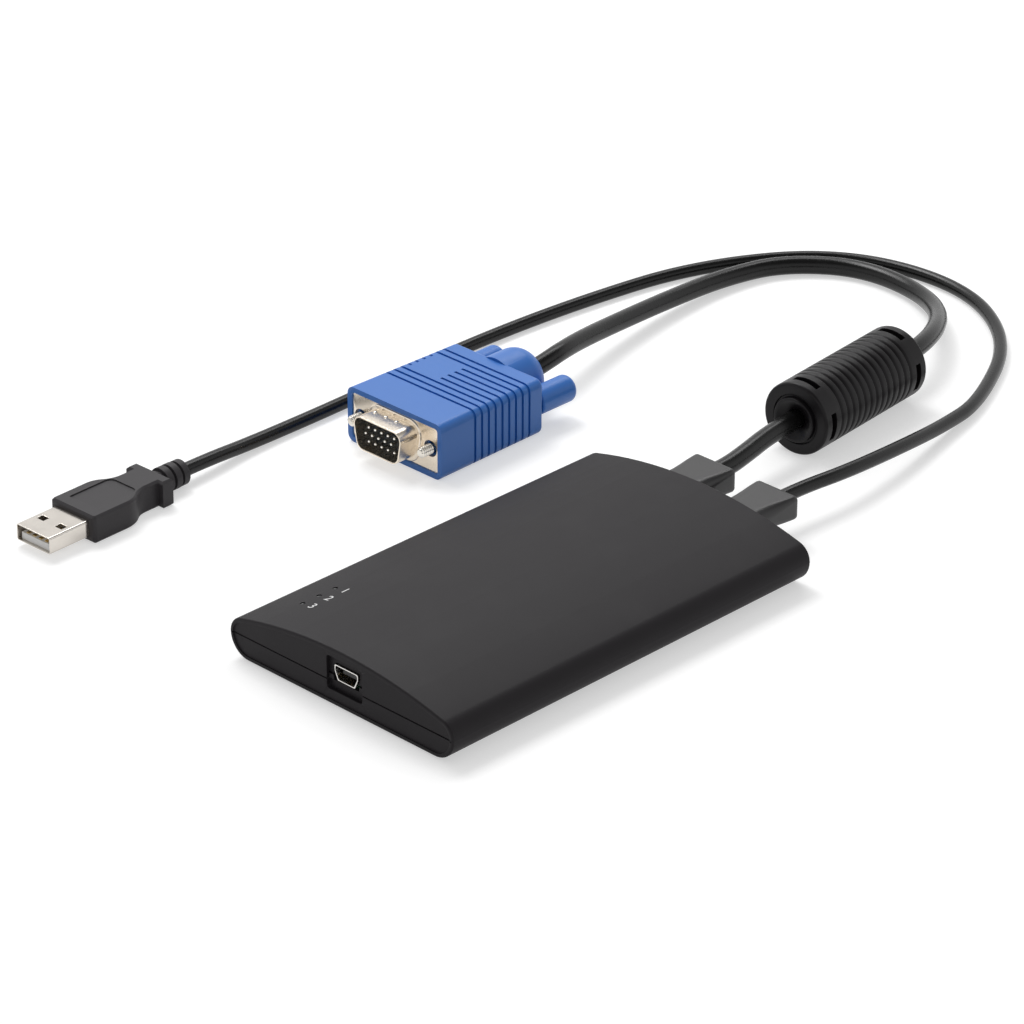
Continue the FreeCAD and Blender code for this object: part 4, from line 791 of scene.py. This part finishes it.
def choke_sleeve():
    profile = choke_profile()
    turn = math.radians(CHOKE_SLOT_TURN)
    columns = []
    for i in range(CHOKE_COLUMNS):
        angle = turn + 2 * math.pi * i / CHOKE_COLUMNS
        columns.append([(r * math.cos(angle), y, r * math.sin(angle)) for r, y in profile])
    piece = skin("choke_sleeve", columns, closed=True)
    form = opened(piece.data)
    cut = [face for face in form.faces if in_choke_slot(face.calc_center_median() / MM)]
    made = bmesh.ops.extrude_face_region(form, geom=cut)["geom"]
    for point in [item for item in made if isinstance(item, bmesh.types.BMVert)]:
        out = Vector((point.co.x, 0, point.co.z)).normalized()
        point.co -= out * CHOKE_SLOT_DEPTH * MM
    bmesh.ops.delete(form, geom=cut, context="FACES")
    bmesh.ops.recalc_face_normals(form, faces=form.faces)
    keep(form, piece.data)
    finish_edges(piece, 0.08, 40.0)
    moved(piece, CHOKE_PLACE, CHOKE_YAW)
    return dress(piece, "choke_black", nodes=["ferrite_sleeve"])


def in_choke_slot(point):
    from_end = min(point.y, CHOKE_LENGTH - point.y)
    if not CHOKE_SLOT_FIRST < from_end < CHOKE_SLOT_FIRST + CHOKE_SLOT_WIDTH:
        return False
    angle = math.degrees(math.atan2(point.z, point.x)) - CHOKE_SLOT_TURN
    outside = math.hypot(point.x, point.z) > CHOKE_RADIUS - 0.1
    return outside and angle % 90.0 < CHOKE_SLOT_SPAN


# Repeats by geometry nodes

class Spread:
    """Geometry nodes that set copies of a master piece on points, with named inputs for sizes."""

    def __init__(self, name, sizes):
        self.tree = bpy.data.node_groups.new(name, "GeometryNodeTree")
        self.tree.interface.new_socket("Geometry", in_out="OUTPUT", socket_type="NodeSocketGeometry")
        self.master = self.tree.interface.new_socket("Master", in_out="INPUT", socket_type="NodeSocketObject")
        self.identifiers = {}
        for label in sizes:
            socket = self.tree.interface.new_socket(label, in_out="INPUT", socket_type="NodeSocketFloat")
            self.identifiers[label] = socket.identifier
        self.source = self.tree.nodes.new("NodeGroupInput")

    def size(self, label):
        return self.source.outputs[label]

    def node(self, kind, settings, sockets, output=0):
        made = self.tree.nodes.new(kind)
        for setting, value in settings.items():
            setattr(made, setting, value)
        for socket, value in sockets.items():
            if isinstance(value, bpy.types.NodeSocket):
                self.tree.links.new(value, made.inputs[socket])
            else:
                made.inputs[socket].default_value = value
        return made.outputs[output]

    def maths(self, operation, first, second=0.0):
        return self.node("ShaderNodeMath", {"operation": operation}, {0: first, 1: second})

    def build(self, name, points, master, sizes, finish_name):
        """Sets the master on the points and returns the plain mesh piece."""
        shape = self.node("GeometryNodeObjectInfo", {}, {"Object": self.source.outputs["Master"]}, "Geometry")
        copies = self.node("GeometryNodeInstanceOnPoints", {}, {"Points": points, "Instance": shape})
        solid = self.node("GeometryNodeRealizeInstances", {}, {"Geometry": copies})
        material = FINISHES[finish_name].material
        painted = self.node("GeometryNodeSetMaterial", {}, {"Geometry": solid, "Material": material})
        end = self.tree.nodes.new("NodeGroupOutput")
        self.tree.links.new(painted, end.inputs["Geometry"])
        piece = add_piece(name, bpy.data.meshes.new(name))
        spread = piece.modifiers.new("spread", "NODES")
        spread.node_group = self.tree
        spread[self.master.identifier] = master
        for label, value in sizes.items():
            spread[self.identifiers[label]] = value
        made_plain(piece)
        bpy.data.objects.remove(master)
        return piece


def turned_rings(profile, sides):
    """Rings about the Y axis through (radius, y) points in mm."""
    angles = [2 * math.pi * i / sides for i in range(sides)]
    rings = []
    for radius, y in profile:
        rings.append([(radius * math.cos(angle), y, radius * math.sin(angle)) for angle in angles])
    return rings


def plug_pins():
    """Fifteen round pins in three rows of five, the middle row half a pitch to the left."""
    tip = PIN_TIP_Y
    radius = PIN_RADIUS
    profile = [(0.08, tip), (0.2, tip + 0.04), (0.3, tip + 0.12), (0.37, tip + 0.26), (radius, tip + 0.45),
               (radius, PIN_TAIL_Y)]
    master = skin("pin_master", turned_rings(profile, 20))
    finish_edges(master, 0, 60.0)
    sizes = {"Pitch": PIN_PITCH * MM, "Row Pitch": PIN_ROW_PITCH * MM}
    spread = Spread("pin_rows", sizes)
    line = spread.node("GeometryNodePoints", {}, {"Count": PIN_COUNT})
    index = spread.node("GeometryNodeInputIndex", {}, {})
    column = spread.maths("SUBTRACT", spread.maths("MODULO", index, PINS_IN_ROW), 2.0)
    row = spread.maths("SUBTRACT", spread.maths("FLOOR", spread.maths("DIVIDE", index, PINS_IN_ROW)), 1.0)
    middle_row = spread.maths("SUBTRACT", 1.0, spread.maths("ABSOLUTE", row))
    shift = spread.maths("SUBTRACT", 0.25, spread.maths("MULTIPLY", middle_row, 0.5))
    x = spread.maths("MULTIPLY", spread.maths("ADD", column, shift), spread.size("Pitch"))
    z = spread.maths("MULTIPLY", row, spread.size("Row Pitch"))
    place = spread.node("ShaderNodeCombineXYZ", {}, {"X": x, "Z": z})
    points = spread.node("GeometryNodeSetPosition", {}, {"Geometry": line, "Position": place})
    piece = spread.build("plug_pins", points, master, sizes, "pin_plated")
    moved(piece, VGA_PLACE)
    return dress(piece, "pin_plated", nodes=["vga_pins"])


def skirt_dimples():
    """Three grounding dimples pressed out of the top of the plug's skirt."""
    profile = [(DIMPLE_RADIUS, -0.1)]
    for i in range(DIMPLE_STEPS):
        angle = math.radians(90.0 * i / (DIMPLE_STEPS - 0.5))
        profile.append((DIMPLE_RADIUS * math.cos(angle), DIMPLE_HEIGHT * math.sin(angle)))
    master = skin("dimple_master", turned_rings(profile, 28))
    master.data.transform(Matrix.Rotation(math.radians(90), 4, "X"))
    finish_edges(master, 0, 60.0)
    sizes = {"Pitch": DIMPLE_PITCH * MM}
    spread = Spread("dimple_row", sizes)
    reach = spread.node("ShaderNodeCombineXYZ", {}, {"X": spread.size("Pitch")})
    start = spread.node("ShaderNodeVectorMath", {"operation": "SCALE"}, {0: reach, "Scale": -1.0})
    points = spread.node("GeometryNodeMeshLine", {"mode": "OFFSET"},
                         {"Count": 3, "Start Location": start, "Offset": reach})
    piece = spread.build("skirt_dimples", points, master, sizes, "jack_steel")
    x, y, z = VGA_PLACE
    moved(piece, (x + DIMPLE_SHIFT, y + DIMPLE_Y, z + SKIRT_TOP))
    return dress(piece, "jack_steel")


def jackscrew(node, side, body):
    """Captive screw: a real 4-40 thread on its nose, the thin shank, the collar and the root in the knob."""
    rings = []
    for i in range(THREAD_STEPS + 1):
        y = THREAD_START + (THREAD_END - THREAD_START) * i / THREAD_STEPS
        lead_in = min(1.0, (y - THREAD_START) / THREAD_LEAD_IN)
        ring = []
        for j in range(JACK_SIDES):
            turn = j / JACK_SIDES
            phase = (y / THREAD_PITCH - turn) % 1.0
            crest = min(1.0, max(0.0, THREAD_FLANK * (0.5 - abs(phase - 0.5))))
            depth = (THREAD_OUTER - THREAD_CORE) * crest * lead_in
            radius = THREAD_CORE + depth - THREAD_NOSE * (1 - lead_in)
            ring.append((radius * math.cos(2 * math.pi * turn), y, radius * math.sin(2 * math.pi * turn)))
        rings.append(ring)
    profile = [
        (SHANK_RADIUS, THREAD_END + 0.2), (SHANK_RADIUS, COLLAR_START),
        (COLLAR_RADIUS, COLLAR_START), (COLLAR_RADIUS, COLLAR_END),
        (SHANK_RADIUS, COLLAR_END), (SHANK_RADIUS, SHANK_END),
    ]
    rings.extend(turned_rings(profile, JACK_SIDES))
    piece = skin(node.replace("vga_", ""), rings)
    finish_edges(piece, 0, 38.0)
    x, y, z = VGA_PLACE
    moved(piece, (x + side * JACK_SPACING / 2, y, z))
    return dress(piece, "jack_steel", body, [node])


def light_digit(number):
    """A small printed figure beside one light hole, laid on the crown."""
    text = bpy.data.curves.new("digit", "FONT")
    text.body = str(number)
    text.size = DIGIT_HEIGHT / CAPITAL_SHARE * MM
    text.extrude = DIGIT_BODY * MM
    text.resolution_u = 6
    maker = bpy.data.objects.new("digit_maker", text)
    bpy.context.collection.objects.link(maker)
    mesh = bpy.data.meshes.new_from_object(maker.evaluated_get(bpy.context.evaluated_depsgraph_get()))
    bpy.data.objects.remove(maker)
    middle_y = LIGHT_Y_FIRST - (number - 1) * LIGHT_PITCH
    for point in mesh.vertices:
        x = DIGIT_X + point.co.x / MM
        y = middle_y - DIGIT_HEIGHT / 2 + point.co.y / MM
        crown = CROWN_CENTRE + math.sqrt(CROWN_RADIUS ** 2 - x ** 2)
        point.co = Vector((x, y, crown + point.co.z / MM)) * MM
    close_skin(mesh)
    piece = add_piece(f"light_digit_{number}", mesh)
    return dress(piece, "digit_ink")


# View, floor and light

def set_view():
    azimuth, elevation, roll = (math.radians(a) for a in (VIEW_AZIMUTH, VIEW_ELEVATION, VIEW_ROLL))
    back = Vector((math.sin(azimuth) * math.cos(elevation), -math.cos(azimuth) * math.cos(elevation),
                   math.sin(elevation)))
    right = Vector((math.cos(azimuth), math.sin(azimuth), 0))
    up = back.cross(right)
    turned_right = right * math.cos(roll) + up * math.sin(roll)
    turned_up = up * math.cos(roll) - right * math.sin(roll)
    place = (Vector(VIEW_TARGET) + back * VIEW_DISTANCE) * MM
    camera = bpy.data.cameras.new("view")
    camera.lens = VIEW_LENS
    camera.sensor_width = SENSOR_WIDTH
    camera.sensor_fit = "HORIZONTAL"
    camera.clip_start = 0.01
    camera.clip_end = 20.0
    viewer = bpy.data.objects.new("view", camera)
    turn = Matrix((turned_right, turned_up, back)).transposed().to_4x4()
    viewer.matrix_world = Matrix.Translation(place) @ turn
    bpy.context.collection.objects.link(viewer)
    bpy.context.scene.camera = viewer


def pale_share(finish):
    """1 for rays from the camera and for reflections and glass, 0 for light that falls on the object."""
    camera = finish.node("ShaderNodeLightPath", {}, {}, "Is Camera Ray")
    glossy = finish.node("ShaderNodeLightPath", {}, {}, "Is Glossy Ray")
    through = finish.node("ShaderNodeLightPath", {}, {}, "Is Transmission Ray")
    return camera.most(glossy).most(through)


def add_floor():
    mesh = bpy.data.meshes.new("floor")
    corners = [(x * FLOOR_HALF, y * FLOOR_HALF, 0) for x, y in ((-1, -1), (1, -1), (1, 1), (-1, 1))]
    mesh.from_pydata(corners, [], [(0, 1, 2, 3)])
    floor = add_piece("floor", mesh)
    floor.location.z = -FLOOR_GAP
    finish = Finish("floor_white", Roughness=1.0, Specular_IOR_Level=0.0)
    paper = finish.noise(400.0)
    finish.wire("Base Color", finish.colours(paper, (0.60, 0.60, 0.60), (0.62, 0.62, 0.62)))
    glow = finish.node("ShaderNodeEmission", {}, {"Color": (1, 1, 1, 1), "Strength": FLOOR_LIFT})
    dark = finish.node("ShaderNodeEmission", {}, {"Color": (0, 0, 0, 1), "Strength": 0.0})
    lift = finish.node("ShaderNodeMixShader", {}, {0: pale_share(finish), 1: dark, 2: glow})
    both = finish.node("ShaderNodeAddShader", {}, {0: Wire(finish, finish.shader.outputs[0]), 1: lift})
    output = finish.tree.nodes["Material Output"]
    finish.tree.links.new(both.socket, output.inputs["Surface"])
    mesh.materials.append(finish.material)


def add_sky():
    """Studio room: white for the camera, white low down and dim above in reflections, plain as light."""
    world = bpy.data.worlds.new("studio")
    bpy.context.scene.world = world
    world.use_nodes = True
    tree = world.node_tree
    tree.nodes.clear()

    def node(kind, **sockets):
        made = tree.nodes.new(kind)
        for socket, value in sockets.items():
            spot = made.inputs[socket.replace("_", " ")]
            if isinstance(value, bpy.types.NodeSocket):
                tree.links.new(value, spot)
            else:
                spot.default_value = value
        return made

    path = node("ShaderNodeLightPath")
    look = node("ShaderNodeTexCoord")
    height = node("ShaderNodeSeparateXYZ", Vector=look.outputs["Generated"])
    room = node("ShaderNodeMapRange", Value=height.outputs["Z"], From_Min=WHITE_BELOW,
                From_Max=DIM_ABOVE, To_Min=1.0, To_Max=CEILING_LIGHT)
    plain = node("ShaderNodeBackground", Strength=SKY_LIGHT)
    seen = node("ShaderNodeBackground", Strength=1.0)
    mirrored = node("ShaderNodeBackground", Strength=room.outputs["Result"])
    shiny = node("ShaderNodeMath")
    shiny.operation = "MAXIMUM"
    tree.links.new(path.outputs["Is Glossy Ray"], shiny.inputs[0])
    tree.links.new(path.outputs["Is Transmission Ray"], shiny.inputs[1])
    for background in (plain, seen, mirrored):
        background.inputs["Color"].default_value = (1, 1, 1, 1)
    first = tree.nodes.new("ShaderNodeMixShader")
    second = tree.nodes.new("ShaderNodeMixShader")
    for mix, share, low, high in ((first, shiny.outputs[0], plain, mirrored),
                                  (second, path.outputs["Is Camera Ray"], first, seen)):
        tree.links.new(share, mix.inputs[0])
        tree.links.new(low.outputs[0], mix.inputs[1])
        tree.links.new(high.outputs[0], mix.inputs[2])
    out = tree.nodes.new("ShaderNodeOutputWorld")
    tree.links.new(second.outputs[0], out.inputs[0])


def add_softbox(name, azimuth, elevation, width, height, radiance):
    """Large soft light that looks at the middle of the object."""
    light = bpy.data.lights.new(name, "AREA")
    light.shape = "RECTANGLE"
    light.size = width
    light.size_y = height
    light.energy = radiance * math.pi * width * height
    lamp = bpy.data.objects.new(name, light)
    turn, rise = math.radians(azimuth), math.radians(elevation)
    out = Vector((math.sin(turn) * math.cos(rise), -math.cos(turn) * math.cos(rise), math.sin(rise)))
    lamp.location = Vector(VIEW_TARGET) * MM + out * LIGHT_DISTANCE
    lamp.rotation_euler = out.to_track_quat("Z", "Y").to_euler()
    bpy.context.collection.objects.link(lamp)


def main():
    for node, finish_name in NODE_FINISHES.items():
        paint(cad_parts[node].data, FINISHES[finish_name])
    for node in CHIPS:
        paint(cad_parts[node].data, chip_finish(node + "_resin", node))

    set_view()
    vga_lead = dress(lead("vga_lead", VGA_ROUTE, VGA_LEAD_DIAMETER), "cable_black", nodes=["vga_cable"])
    usb_lead = dress(lead("usb_lead", USB_ROUTE, USB_LEAD_DIAMETER), "cable_black", nodes=["usb_cable"])

    pieces = {node: softened(node) for node in SOFTENED}
    for node, x in BOOTS.items():
        pieces[node] = cable_boot(node, x)
    sleeve = choke_sleeve()
    pins = plug_pins()
    skirt_dimples()
    left_jack = jackscrew("vga_jackscrew_left", -1, "left_thumbscrew")
    right_jack = jackscrew("vga_jackscrew_right", 1, "right_thumbscrew")
    for number in (1, 2, 3):
        light_digit(number)

    add_floor()
    add_sky()
    for name, sizes in SOFTBOXES.items():
        add_softbox(name, *sizes)
    bpy.context.scene.view_settings.view_transform = "Standard"


main()
